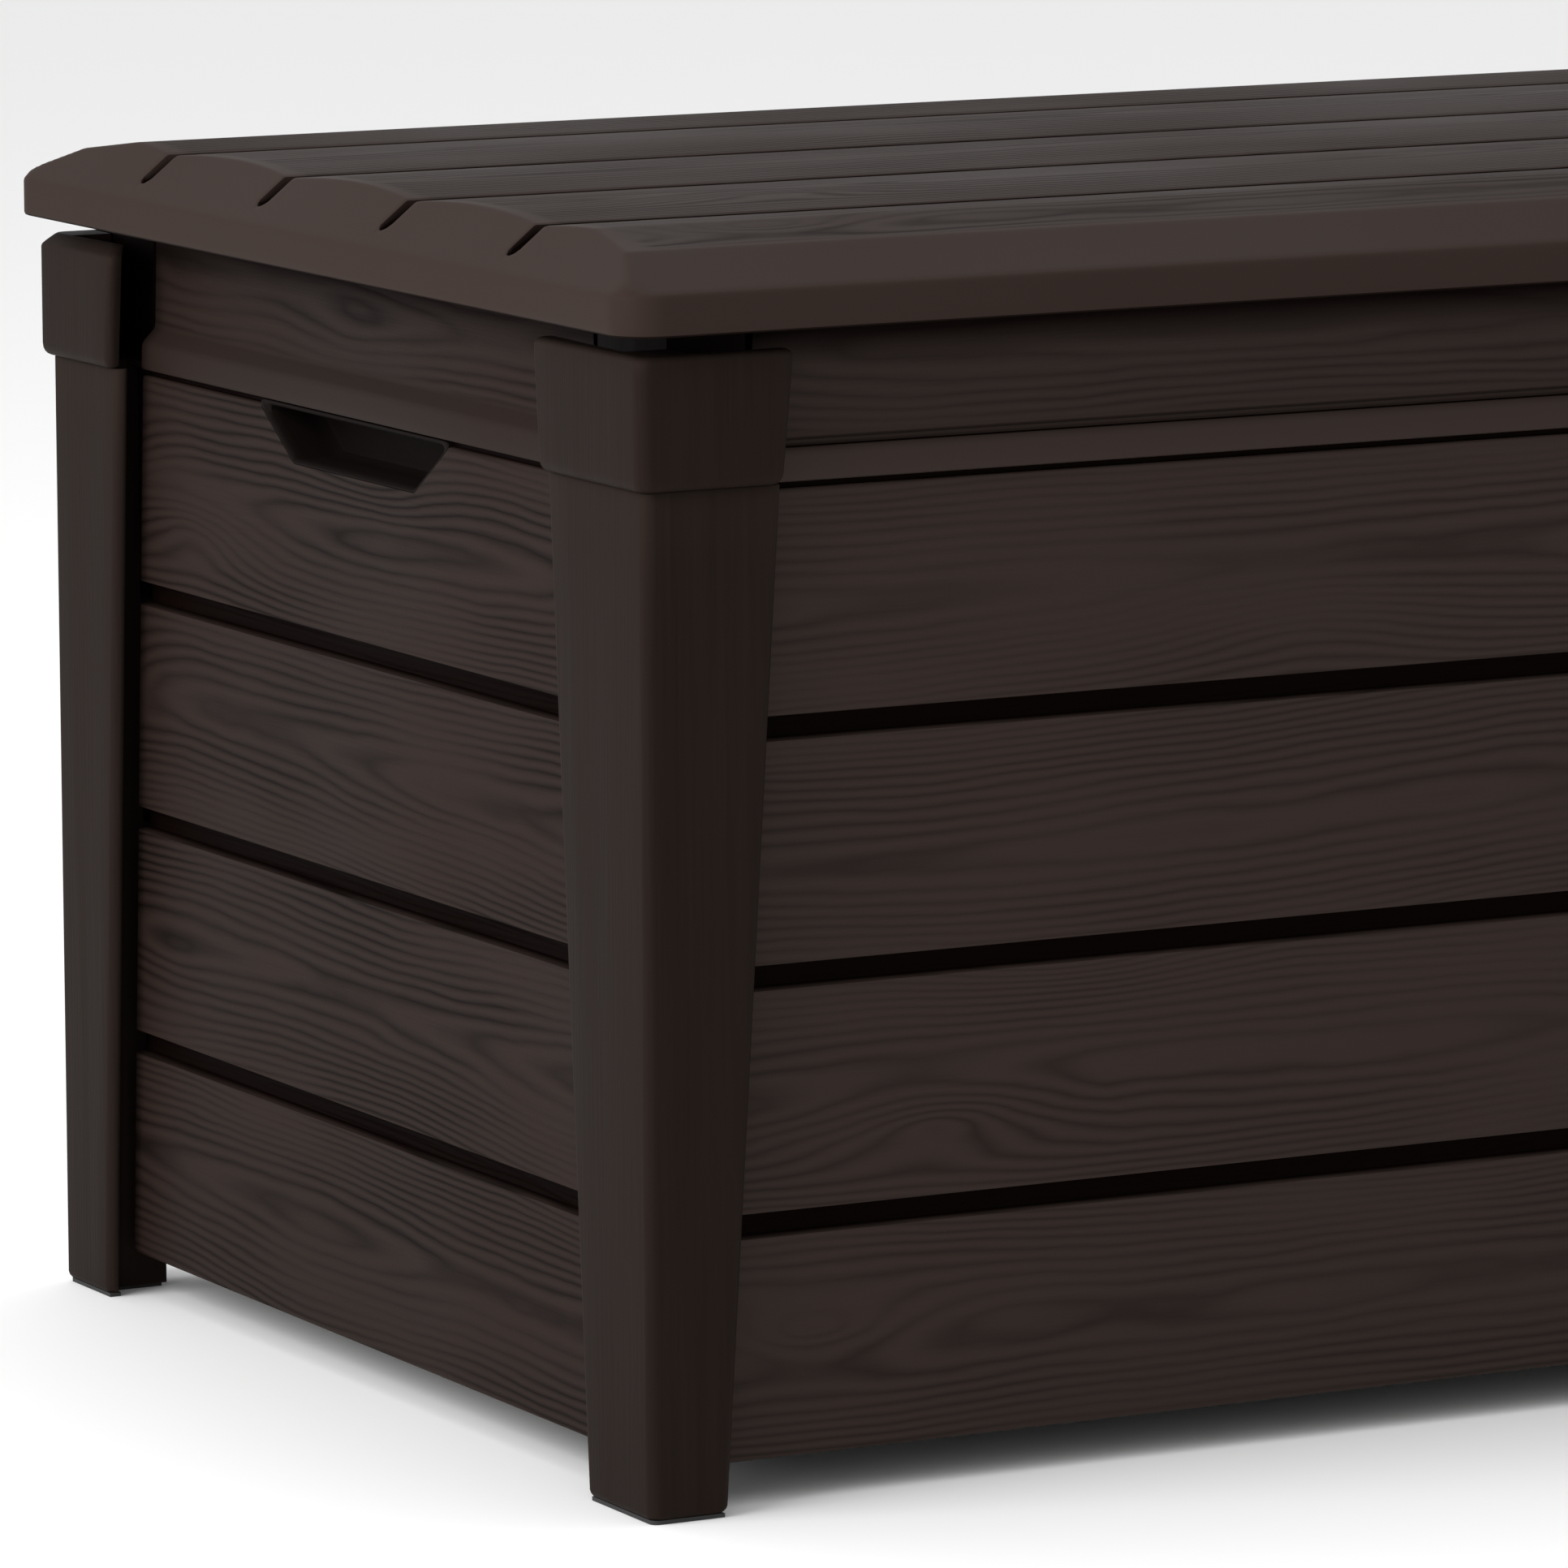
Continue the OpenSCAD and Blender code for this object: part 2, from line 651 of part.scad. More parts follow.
pad_margin = 10;
staple_pad = [0, z_lock, lock_w + pad_margin, 2 * lock_below + pad_margin];
module front_panel() {
    color(resin) difference() {
        at_front() wall(long_wall_l, hx, [long_side, long_side], long_wall_l, [staple_pad]);
        at_front() end_holes(long_wall_l, 0);
        for (p = staple_screw_places())
            translate([p.x, -hy + band_inset - past, p.y]) rotate([-90, 0, 0])
                cylinder(r = pilot_r, h = screw_l - plate_t + past);
    }
}

module back_panel() {
    color(resin) difference() {
        at_back() wall(long_wall_l, hx, [long_side, long_side], long_wall_l,
            [for (x = hinge_places) [x, z_hinge - bracket_low / 2, hinge_w + pad_margin, bracket_low]]);
        at_back() end_holes(long_wall_l, 0);
        for (p = bracket_screw_places())
            translate([p.x, y_band + past, p.y]) rotate([90, 0, 0])
                cylinder(r = pilot_r, h = screw_l - plate_t + past);
    }
}

// Trapezium of a finger pull grown by g all round, deep from set-back y0 to y1
z_pull = z_planks - pull_h;
module pull_form(g, y0, y1) {
    slope = (pull_top_w - pull_bottom_w) / 2 / pull_h;
    low = pull_bottom_w / 2 + g * (sqrt(1 + slope * slope) - slope);
    high = pull_top_w / 2 + g * (sqrt(1 + slope * slope) + slope);
    translate([pull_x, y1, 0]) rotate([90, 0, 0]) linear_extrude(y1 - y0) polygon([
        [-low, z_pull - g], [low, z_pull - g], [high, z_planks + g], [-high, z_planks + g]]);
}

// A left wall's own X runs towards the front of the box
pull_x = end_x(pull_back);
pull_fit = 0.3;
cup_collar = 6;
cup_collar_t = 2;
pull_pad_margin = 32;
pull_pad = [pull_x, z_planks - pull_h / 2, pull_top_w + pull_pad_margin, pull_h + pull_pad_margin];
strut_pad_w = 50;
strut_pad = [end_x(y_hinge - strut_wall_y), z_hinge - strut_wall_z, strut_pad_w, strut_pad_w];

module end_panel() {
    color(resin) at_left() difference() {
        wall(end_wall_l, body_d / 2, [rear_end, front_end], end_wall_l - 2 * (ledge_w + loose),
            [pull_pad, strut_pad]);
        end_holes(end_wall_l, end_wall_raise);
        pull_form(cup_t + pull_fit, 0, inner_inset + ledge_w + past);
        for (i = [-1:1])
            translate([end_x(notch_y) + i * notch_pitch - notch_w / 2, face_inset - past, wall_bottom - past])
                cube([notch_w, skin_t + past, notch_h + past]);
        for (p = wall_bracket_screw_places())
            translate([p.x, inner_inset + past, p.y]) rotate([90, 0, 0])
                cylinder(r = pilot_r, h = screw_l - plate_t + past);
    }
}
module left_panel() { end_panel(); }
module right_panel() { right_side() end_panel(); }

// Cup behind a finger pull's opening, with a collar inside the wall
module pull_cup() {
    back = face_inset + pull_deep;
    color(resin) at_left() difference() {
        union() {
            pull_form(cup_t, face_inset, back + cup_t);
            pull_form(cup_t + cup_collar, inner_inset + loose, inner_inset + loose + cup_collar_t);
        }
        pull_form(0, face_inset - past, back);
    }
}
module left_pull_cup() { pull_cup(); }
module right_pull_cup() { right_side() pull_cup(); }

// ---------------------------------------------------------------- corner posts

// Everything inward of two set-backs with a rounded outer corner, from z0 to z1
module corner_prism(inset, r, reach, z0, z1) {
    translate([0, 0, z0]) {
        translate([inset + r, inset, 0]) cube([reach, reach, z1 - z0]);
        translate([inset, inset + r, 0]) cube([reach, reach, z1 - z0]);
        translate([inset + r, inset + r, 0]) cylinder(r = r, h = z1 - z0);
    }
}

// Two wings along the walls, thick deep, from the corner out. end and side are the
// [foot, top] widths of the wing on the box's end and of the one on its long side.
module wings(inset, thick, z0, z1, end, side) {
    translate([inset, 0, 0]) rotate([90, 0, 90]) linear_extrude(thick) polygon([
        [inset, z0], [inset + end[0], z0], [inset + end[1], z1], [inset, z1]]);
    translate([0, inset + thick, 0]) rotate([90, 0, 0]) linear_extrude(thick) polygon([
        [inset, z0], [inset + side[0], z0], [inset + side[1], z1], [inset, z1]]);
}
function less(wing, d) = [wing[0] - d, wing[1] - d];
function straight(w) = [w, w];

cap_step = 6;
cap_corner_extra = 1;
reach = 200;
column = inner_inset - post_inset;
corner_web = 3;
z_spigot = z_cap_top - cap_wall - loose;
spigot_inset = cap_inset + cap_wall + loose;
spigot_deep = 6;
spigot_short = 10;

// One post: tapered wings with a lip, a hollow column, a spigot and a neck up to the rim
module post(end, side) {
    color(resin) at_corner() difference() {
        union() {
            intersection() {
                corner_prism(post_inset, post_corner_r, reach, pad_t, z_cap);
                union() {
                    wings(post_inset, wing_deep, pad_t, z_cap, end, side);
                    translate([post_inset, post_inset, pad_t]) cube([column, column, z_cap - pad_t]);
                }
            }
            intersection() {
                corner_prism(spigot_inset, post_corner_r, reach, z_cap - post_wall, z_spigot);
                wings(spigot_inset, spigot_deep, z_cap - post_wall, z_spigot,
                      straight(end[1] - spigot_short), straight(side[1] - spigot_short));
            }
            translate([band_inset, band_inset, z_cap - post_wall])
                cube([inner_inset - band_inset, inner_inset - band_inset, z_rim - z_cap + post_wall]);
        }
        // hollow of the wings and of the column
        z0 = pad_t + post_wall;
        z1 = z_cap - post_wall;
        w = post_inset + post_wall;
        intersection() {
            wings(w, wing_deep, z0, z1, less(end, 2 * post_wall), less(side, 2 * post_wall));
            corner_prism(w, post_corner_r - post_wall, reach, z0, z1);
        }
        hollow = column - 2 * post_wall - corner_web;
        translate([inner_inset - post_wall - hollow, inner_inset - post_wall - hollow, z0])
            cube([hollow, hollow, z1 - z0]);
        // pilot holes for the screws through the walls' end flanges
        for (z = corner_screw_heights(0))
            translate([inner_inset + past, corner_screw_inset, z]) rotate([0, -90, 0])
                cylinder(r = pilot_r, h = screw_l + past);
        for (z = corner_screw_heights(end_wall_raise))
            translate([corner_screw_inset, inner_inset + past, z]) rotate([90, 0, 0])
                cylinder(r = pilot_r, h = screw_l + past);
    }
}
module post_front_left() { post(front_end, long_side); }
module post_rear_left() { rear_side() post(rear_end, long_side); }
module post_front_right() { right_side() post_front_left(); }
module post_rear_right() { right_side() post_rear_left(); }

// Outline of a cap's outer faces as (set-back, height): curled foot, chamfered top
cap_curl = 3;
function cap_side() = [
    [cap_inset + cap_curl, z_cap], [cap_inset, z_cap + 2 * cap_curl],
    [cap_inset, z_cap_top - cap_chamfer], [cap_inset + cap_chamfer, z_cap_top],
    [reach, z_cap_top], [reach, z_cap]];

// A flared hollow cap over the spigot of a post with these wings
module cap(end, side) {
    over = post_inset - cap_inset + cap_over;
    cap_end = [end[1] + over - cap_step, end[1] + over];
    cap_side_w = [side[1] + over - cap_step, side[1] + over];
    color(resin) at_corner() difference() {
        intersection() {
            corner_prism(cap_inset, post_corner_r + cap_corner_extra, reach, z_cap, z_cap_top);
            union() {
                wings(cap_inset, cap_deep, z_cap, z_cap_top, cap_end, cap_side_w);
                translate([cap_inset, cap_inset, z_cap_top - cap_wall])
                    cube([inner_inset - cap_inset, inner_inset - cap_inset, cap_wall]);
            }
            rotate([90, 0, 90]) linear_extrude(reach) polygon(cap_side());
            translate([0, reach, 0]) rotate([90, 0, 0]) linear_extrude(reach) polygon(cap_side());
        }
        // room for the spigot, and for the neck that carries on up to the rim
        z1 = z_cap_top - cap_wall;
        w = cap_inset + cap_wall;
        intersection() {
            wings(w, cap_deep, z_cap - past, z1, straight(cap_end[0] - 2 * cap_wall),
                  straight(cap_side_w[0] - 2 * cap_wall));
            corner_prism(w, post_corner_r, reach, z_cap - past, z1);
        }
        translate([band_inset - loose, band_inset - loose, z_cap])
            cube([inner_inset, inner_inset, cap_h + past]);
    }
}
module cap_front_left() { cap(front_end, long_side); }
module cap_rear_left() { rear_side() cap(rear_end, long_side); }
module cap_front_right() { right_side() cap_front_left(); }
module cap_rear_right() { right_side() cap_rear_left(); }

// Rubber pads under the posts, set back from their outline
pad_back = 2;
module foot_pad(end_w, side_w) {
    intersection() {
        corner_prism(post_inset + pad_back, post_corner_r - pad_back, reach, 0, pad_t);
        union() {
            wings(post_inset + pad_back, wing_deep, 0, pad_t,
                  straight(end_w - 2 * pad_back), straight(side_w - 2 * pad_back));
            translate([post_inset + pad_back, post_inset + pad_back, 0])
                cube([column - 2 * pad_back, column - 2 * pad_back, pad_t]);
        }
    }
}
module foot_pads() {
    color(black) for (mx = [0, 1]) mirror([mx, 0, 0]) {
        at_corner() foot_pad(front_end_foot, side_foot);
        rear_side() at_corner() foot_pad(rear_end_foot, side_foot);
    }
}

// ---------------------------------------------------------------- floor

floor_edge = inner_inset + 1;
joiner_h = 10;
joiner_screw_end = 130;
function joiner_screw_places() = [for (s = [-1, 1], t = [-1, 0, 1])
    [s * joiner_w / 4, body_y + t * (body_d / 2 - joiner_screw_end)]];

// One half of the floor: a plate on a grid of ribs
module floor_half() {
    l = hx - floor_edge - loose;
    d = body_d - 2 * floor_edge;
    nx = floor(l / floor_rib_pitch);
    ny = floor(d / floor_rib_pitch);
    px = (l - rib_t) / nx;
    py = (d - rib_t) / ny;
    color(resin_inside) difference() {
        translate([-hx + floor_edge, body_y - d / 2, z_floor]) difference() {
            cube([l, d, floor_h]);
            for (i = [0:nx - 1], j = [0:ny - 1])
                translate([i * px + rib_t, j * py + rib_t, -past])
                    cube([px - rib_t, py - rib_t, floor_h - floor_t + past]);
        }
        for (p = joiner_screw_places()) if (p.x < 0)
            translate([p.x, p.y, z_floor + floor_h - floor_t - past]) cylinder(r = hole_r, h = floor_t + 2 * past);
    }
}
module floor_left() { floor_half(); }
module floor_right() { right_side() floor_half(); }

// Tray under the seam of the two halves, screwed up through their plates
module floor_joiner() {
    l = body_d - 2 * (inner_inset + ledge_w + loose);
    pocket_h = joiner_h - flange_t + past;
    color(resin_inside) difference() {
        union() {
            translate([-joiner_w / 2, body_y - l / 2, z_floor - joiner_h]) cube([joiner_w, l, joiner_h]);
            for (p = joiner_screw_places()) translate([p.x, p.y, z_floor - joiner_h / 2])
                cylinder(r = boss_r, h = joiner_h / 2 + floor_h - floor_t);
        }
        for (s = [-1, 1]) translate([s * joiner_w / 4, body_y, z_floor - joiner_h - past + pocket_h / 2])
            cube([joiner_w / 2 - 2 * rib_t, l - 2 * rib_t, pocket_h], center = true);
        for (p = joiner_screw_places()) translate([p.x, p.y, z_floor + floor_h - floor_t - screw_l])
            cylinder(r = pilot_r, h = screw_l + past);
    }
}

// ---------------------------------------------------------------- gas struts

// Turns a (y, z) place about the hinge axis by the opening angle a
function opened(v, a) = [v.x * cos(a) + v.y * sin(a), -v.x * sin(a) + v.y * cos(a)];
function closed(v, a) = [v.x * cos(a) - v.y * sin(a), v.x * sin(a) + v.y * cos(a)];

lid_pivot = [-strut_lid_y, -strut_lid_z];
wall_pivot = [-strut_wall_y, -strut_wall_z];
function strut_at(a) = opened(lid_pivot, a) - wall_pivot;
strut_l = norm(strut_at(0));
strut_travel = norm(strut_at(open_angle)) - strut_l;
strut_tilt = atan2(strut_at(0).y, strut_at(0).x);
strut_swing = atan2(strut_at(open_angle).y, strut_at(open_angle).x) - strut_tilt;

// Where the stud is in its slot with the lid open by a, seen from the lid
function stud_slip(a) = let (
    l = strut_l + strut_travel * a / open_angle,
    t = strut_tilt + strut_swing * a / open_angle)
    closed(wall_pivot + l * [cos(t), sin(t)], a) - lid_pivot;
slip_end = stud_slip(open_angle / 2);
slip_low = min([for (a = [0:5:open_angle]) stud_slip(a).y]);
slip_high = max([for (a = [0:5:open_angle]) stud_slip(a).y]);
slot_clear = 0.6;
slot_r = stud_r + max(slip_high, -slip_low) + slot_clear;

eye_w = 8;
eye_r = 8;
eye_neck_r = 3.5;
stud_head_r = 5;
stud_head_h = 2;
slot_head_r = slot_r + 2;
slot_head_h = 3;
lid_plate_off = 7;
lid_plate_edge = 5;
lid_flange_w = 31;
spacer_r = 5;

// Places a strut's parts: its own Z runs from the wall pivot to the lid pivot
module at_strut() {
    translate([-x_strut, y_hinge + wall_pivot.x, z_hinge + wall_pivot.y])
        rotate([strut_tilt - 90, 0, 0]) children();
}

// A cylinder along X from set-back a to b, measured from the wall's inside
module x_cylinder(r, a, b) {
    translate([a - strut_off, 0, 0]) rotate([0, 90, 0]) cylinder(r = r, h = b - a);
}

wall_bracket_w = 42;
wall_bracket_screw = 15;
function wall_bracket_screw_places() = [for (s = [-1, 1], t = [-1, 1])
    [strut_pad[0] + s * wall_bracket_screw, strut_pad[1] + t * wall_bracket_screw]];

// Plate on the end wall with the stud that the strut's lower eye turns on
module wall_bracket() {
    eye_a = strut_off - eye_w / 2;
    color(dark_steel) {
        difference() {
            translate([-hx + inner_inset, y_hinge - strut_wall_y - wall_bracket_w / 2,
                       z_hinge - strut_wall_z - wall_bracket_w / 2])
                cube([plate_t, wall_bracket_w, wall_bracket_w]);
            at_left() for (p = wall_bracket_screw_places())
                translate([p.x, inner_inset - past, p.y]) rotate([-90, 0, 0])
                    cylinder(r = hole_r, h = plate_t + 2 * past);
        }
        translate([-x_strut, y_hinge - strut_wall_y, z_hinge - strut_wall_z]) {
            x_cylinder(spacer_r, plate_t / 2, eye_a - loose);
            x_cylinder(stud_r, plate_t / 2, eye_a + eye_w + loose);
            x_cylinder(stud_head_r, eye_a + eye_w + loose, eye_a + eye_w + loose + stud_head_h);
        }
    }
}

lid_screw_off = 5;
lid_screw_spread = 14;
function lid_bracket_screw_places() = [for (t = [-1, 1])
    [x_strut - lid_screw_off, y_hinge - strut_lid_y + slip_end.x / 2 + t * lid_screw_spread]];

// Bracket under the lid with the slot that the strut's upper stud runs in
module lid_bracket() {
    y0 = y_hinge - strut_lid_y - slot_r - lid_plate_edge;
    y1 = y_hinge - strut_lid_y + slip_end.x + slot_r + lid_plate_edge;
    z0 = z_hinge - strut_lid_z - slot_r - lid_plate_edge;
    x0 = -hx + inner_inset + lid_plate_off;
    color(dark_steel) difference() {
        union() {
            translate([x0, y0, z0]) cube([plate_t, y1 - y0, z_liner - z0]);
            translate([x0, y0, z_liner - plate_t]) cube([lid_flange_w, y1 - y0, plate_t]);
        }
        translate([x0 - past, y_hinge - strut_lid_y, z_hinge - strut_lid_z]) {
            rotate([0, 90, 0]) cylinder(r = slot_r, h = plate_t + 2 * past);
            translate([0, slip_end.x, 0]) rotate([0, 90, 0]) cylinder(r = slot_r, h = plate_t + 2 * past);
            translate([0, 0, -slot_r]) cube([plate_t + 2 * past, slip_end.x, 2 * slot_r]);
        }
        for (p = lid_bracket_screw_places())
            translate([-p.x, p.y, z_liner - plate_t - past]) cylinder(r = hole_r, h = plate_t + 2 * past);
    }
}

gland_h = 10;
tube_start = 12;
tube_end = tube_start + tube_l;

// Pressed steel tube, closed at its lower end
module strut_tube() {
    color(black) at_strut() difference() {
        translate([0, 0, tube_start]) cylinder(r = tube_r, h = tube_l);
        translate([0, 0, tube_start + tube_t]) cylinder(r = tube_r - tube_t, h = tube_l);
    }
}

// Guide in the mouth of the tube that the rod slides through
module strut_gland() {
    color(steel) at_strut() difference() {
        union() {
            translate([0, 0, tube_end - gland_h]) cylinder(r = tube_r - tube_t, h = gland_h);
            translate([0, 0, tube_end]) cylinder(r = tube_r, h = tube_t);
        }
        translate([0, 0, tube_end - gland_h - past])
            cylinder(r = rod_r + running, h = gland_h + tube_t + 2 * past);
    }
}

// Lower eye, fixed to the tube's closed end
module strut_eye() {
    color(black) at_strut() difference() {
        union() {
            rotate([0, 90, 0]) cylinder(r = eye_r, h = eye_w, center = true);
            cylinder(r = eye_neck_r, h = tube_start);
        }
        rotate([0, 90, 0]) cylinder(r = stud_r + running, h = eye_w + 2 * past, center = true);
    }
}

piston_h = 8;
piston_gap = 0.1;

// Plated rod that carries the piston inside and the upper eye outside
rod_end = 7;
module strut_rod() {
    color(steel) at_strut() translate([0, 0, strut_l - rod_end - rod_l]) cylinder(r = rod_r, h = rod_l);
}

module strut_piston() {
    color(black) at_strut() translate([0, 0, strut_l - rod_end - rod_l - piston_h])
        cylinder(r = tube_r - tube_t - piston_gap, h = piston_h);
}

// Upper eye and its headed stud, which runs in the lid bracket's slot
module strut_stud() {
    plate_in = lid_plate_off + plate_t;
    color(black) at_strut() translate([0, 0, strut_l]) {
        rotate([0, 90, 0]) cylinder(r = rod_end, h = eye_w, center = true);
        x_cylinder(spacer_r, plate_in + loose, strut_off);
        x_cylinder(stud_r, lid_plate_off - loose, strut_off);
        x_cylinder(slot_head_r, lid_plate_off - loose - slot_head_h, lid_plate_off - loose);
    }
}

module left_wall_bracket() { wall_bracket(); }
module right_wall_bracket() { right_side() wall_bracket(); }
module left_lid_bracket() { lid_bracket(); }
module right_lid_bracket() { right_side() lid_bracket(); }
module left_strut_tube() { strut_tube(); }
module right_strut_tube() { right_side() strut_tube(); }
module left_strut_gland() { strut_gland(); }
module right_strut_gland() { right_side() strut_gland(); }
module left_strut_eye() { strut_eye(); }
module right_strut_eye() { right_side() strut_eye(); }
module left_strut_rod() { strut_rod(); }
module right_strut_rod() { right_side() strut_rod(); }
module left_strut_piston() { strut_piston(); }
module right_strut_piston() { right_side() strut_piston(); }
module left_strut_stud() { strut_stud(); }
module right_strut_stud() { right_side() strut_stud(); }

// ---------------------------------------------------------------- screws

// Screws driven up into the lid from below
module screws_up(places, z) {
    color(steel) for (p = places) translate([p.x, p.y, z]) rotate([180, 0, 0]) screw();
}

module hinge_bracket_screws() {
    color(steel) for (p = bracket_screw_places())
        translate([p.x, y_band + plate_t, p.y]) rotate([-90, 0, 0]) screw();
}
module hinge_leaf_screws() { screws_up(leaf_screw_places(), z_liner - leaf_t); }
module liner_screws() { screws_up(liner_screw_places(), z_liner); }
module lid_bracket_screws() {
    screws_up([for (p = lid_bracket_screw_places(), s = [-1, 1]) [s * p.x, p.y]], z_liner - plate_t);
}
module wall_bracket_screws() {
    color(steel) for (m = [0, 1]) mirror([m, 0, 0]) at_left() for (p = wall_bracket_screw_places())
        translate([p.x, inner_inset + plate_t, p.y]) rotate([-90, 0, 0]) screw();
}
module tongue_screws() { screws_up(tongue_screw_places(), z_liner - plate_t); }
module lock_screws() {
    base = -hy + band_inset - plate_t;
    color(steel) for (p = staple_screw_places()) translate([p.x, base, p.y]) rotate([90, 0, 0]) screw();
}
module floor_screws() {
    color(steel) for (p = joiner_screw_places()) translate([p.x, p.y, z_floor + floor_h]) screw();
}

// Screws through the walls' end flanges into the posts, heads inside the walls
module corner_screw_set() {
    for (z = corner_screw_heights(0))
        translate([inner_inset + loose + flange_t, corner_screw_inset, z]) rotate([0, 90, 0]) screw();
    for (z = corner_screw_heights(end_wall_raise))
        translate([corner_screw_inset, inner_inset + loose + flange_t, z]) rotate([-90, 0, 0]) screw();
}
module corner_screws() {
    color(steel) for (mx = [0, 1]) mirror([mx, 0, 0]) {
        at_corner() corner_screw_set();
        rear_side() at_corner() corner_screw_set();
    }
}

// ---------------------------------------------------------------- nodes

lid_shell();
lid_liner();
lid_beam(-1);  // lid_beam_front
lid_beam(1);  // lid_beam_rear
lid_bumpers();
hinge_leaf(-hinge_x);  // hinge_leaf_left
hinge_leaf(0);  // hinge_leaf_centre
hinge_leaf(hinge_x);  // hinge_leaf_right
hinge_bracket(-hinge_x);  // hinge_bracket_left
hinge_bracket(0);  // hinge_bracket_centre
hinge_bracket(hinge_x);  // hinge_bracket_right
hinge_pins();
lock_tongue();
lock_staple();
front_panel();
back_panel();
left_panel();
right_panel();
left_pull_cup();
right_pull_cup();
post_front_left();
post_front_right();
post_rear_left();
post_rear_right();
cap_front_left();
cap_front_right();
cap_rear_left();
cap_rear_right();
foot_pads();
floor_left();
floor_right();
floor_joiner();
left_wall_bracket();
right_wall_bracket();
left_lid_bracket();
right_lid_bracket();
left_strut_tube();
right_strut_tube();
left_strut_gland();
right_strut_gland();
left_strut_eye();
right_strut_eye();
left_strut_rod();
right_strut_rod();
left_strut_piston();
right_strut_piston();
left_strut_stud();
right_strut_stud();
hinge_bracket_screws();
hinge_leaf_screws();
liner_screws();
corner_screws();
wall_bracket_screws();
lid_bracket_screws();
tongue_screws();
lock_screws();
floor_screws();
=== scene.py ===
import json
import math

import bpy
import bmesh
from mathutils import Matrix, Vector


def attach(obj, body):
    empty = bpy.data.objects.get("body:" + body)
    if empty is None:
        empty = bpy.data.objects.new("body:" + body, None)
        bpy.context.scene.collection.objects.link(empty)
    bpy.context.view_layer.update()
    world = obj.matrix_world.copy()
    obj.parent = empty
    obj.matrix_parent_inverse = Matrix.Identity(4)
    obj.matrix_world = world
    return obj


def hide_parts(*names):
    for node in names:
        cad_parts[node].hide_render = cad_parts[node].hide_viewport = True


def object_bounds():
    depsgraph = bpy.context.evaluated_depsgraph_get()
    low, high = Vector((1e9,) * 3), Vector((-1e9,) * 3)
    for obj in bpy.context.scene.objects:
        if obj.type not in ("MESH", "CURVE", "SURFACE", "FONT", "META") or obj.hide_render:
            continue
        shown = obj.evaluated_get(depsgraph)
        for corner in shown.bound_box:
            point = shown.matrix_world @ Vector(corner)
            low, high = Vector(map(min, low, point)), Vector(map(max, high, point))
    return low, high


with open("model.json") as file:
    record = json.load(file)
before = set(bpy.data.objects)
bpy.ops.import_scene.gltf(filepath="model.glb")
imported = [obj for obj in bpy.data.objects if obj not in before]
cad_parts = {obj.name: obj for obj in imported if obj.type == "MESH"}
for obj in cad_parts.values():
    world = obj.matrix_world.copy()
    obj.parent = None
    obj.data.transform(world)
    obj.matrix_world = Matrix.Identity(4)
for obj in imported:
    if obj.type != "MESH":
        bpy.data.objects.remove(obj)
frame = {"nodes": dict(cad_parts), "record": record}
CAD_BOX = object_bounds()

MM = 0.001

# ------------------------------------------------------------------ sizes, mm
# Half the lid's length and depth, and the height over all, from the CAD's box
HX, HY, BOX_H = (v / MM for v in CAD_BOX[1])

# The lid: the top of its skirt, its lower edge, and the walls' rim inside it
Z_SKIRT_TOP, Z_LID, Z_RIM = 579.7, 560.1, 564.0
# Its bevels, the soft crown past the long ones, and the straight rise of its ends
LONG_BEVEL, END_BEVEL, BEVEL_RISE = 43.5, 27.0, 16.2
CROWN_RUN, CROWN_SOFT, CROWN_SLOPE = 1.15, 0.4, 0.02
END_SLOPE, END_FLAT = 0.79, 0.6
# Its planks and the grooves between them, which stop GROOVE_END short of its ends
GROOVE_END = 14.5
PLANK_CROWN, LID_PITCH, LID_GROOVE_W = 3.5, 138.0, 9.0
Z_LID_GROOVE = Z_SKIRT_TOP + 5.2
LID_R, LID_WALL = 20.0, 3.0

# The walls: how far their planks, band, moulding, inner side and end strips stand in from the lid's edge
FACE, BAND, STRIP, INNER, RECESS = 34.8, 41.5, 34.0, 57.0, 47.0
SKIN = 3.5
Z_WALL, Z_PLANKS, Z_STRIP, STRIP_H, Z_BAND = 21.6, 482.0, 485.0, 14.0, 506.5
WALL_GROOVE_W, WALL_GROOVE_D, N_PLANKS = 10.8, 6.5, 4
PLANK_H = (Z_PLANKS - Z_WALL - (N_PLANKS - 1) * WALL_GROOVE_W) / N_PLANKS
LEDGE_W, FLANGE = 18.0, 4.0

# How much less the lid stands out over the box at the back than at the front
BACK_SHIFT = 8.0
BODY_HY, BODY_Y = HY + BACK_SHIFT / 2, BACK_SHIFT / 2

# Posts and caps, and (foot, top) widths of the posts' wings
POST, POST_R, CAP_R, WING_DEEP, PAD = 17.0, 6.0, 7.0, 6.0, 2.0
FRONT_END, REAR_END, LONG_SIDE = (67.0, 102.0), (55.0, 82.0), (42.0, 72.5)
WING_LAP = 7.0
CAP, Z_CAP, Z_CAP_TOP, CAP_DEEP, CAP_OVER, CAP_STEP = 12.0, 487.1, 550.1, 7.0, 4.5, 6.0

# The finger pulls and the cups behind them
PULL_TOP, PULL_BOTTOM, PULL_H, PULL_R = 207.0, 135.0, 24.0, 7.0
PULL_DEEP, PULL_Y, CUP_T = 28.0, 17.0, 2.5


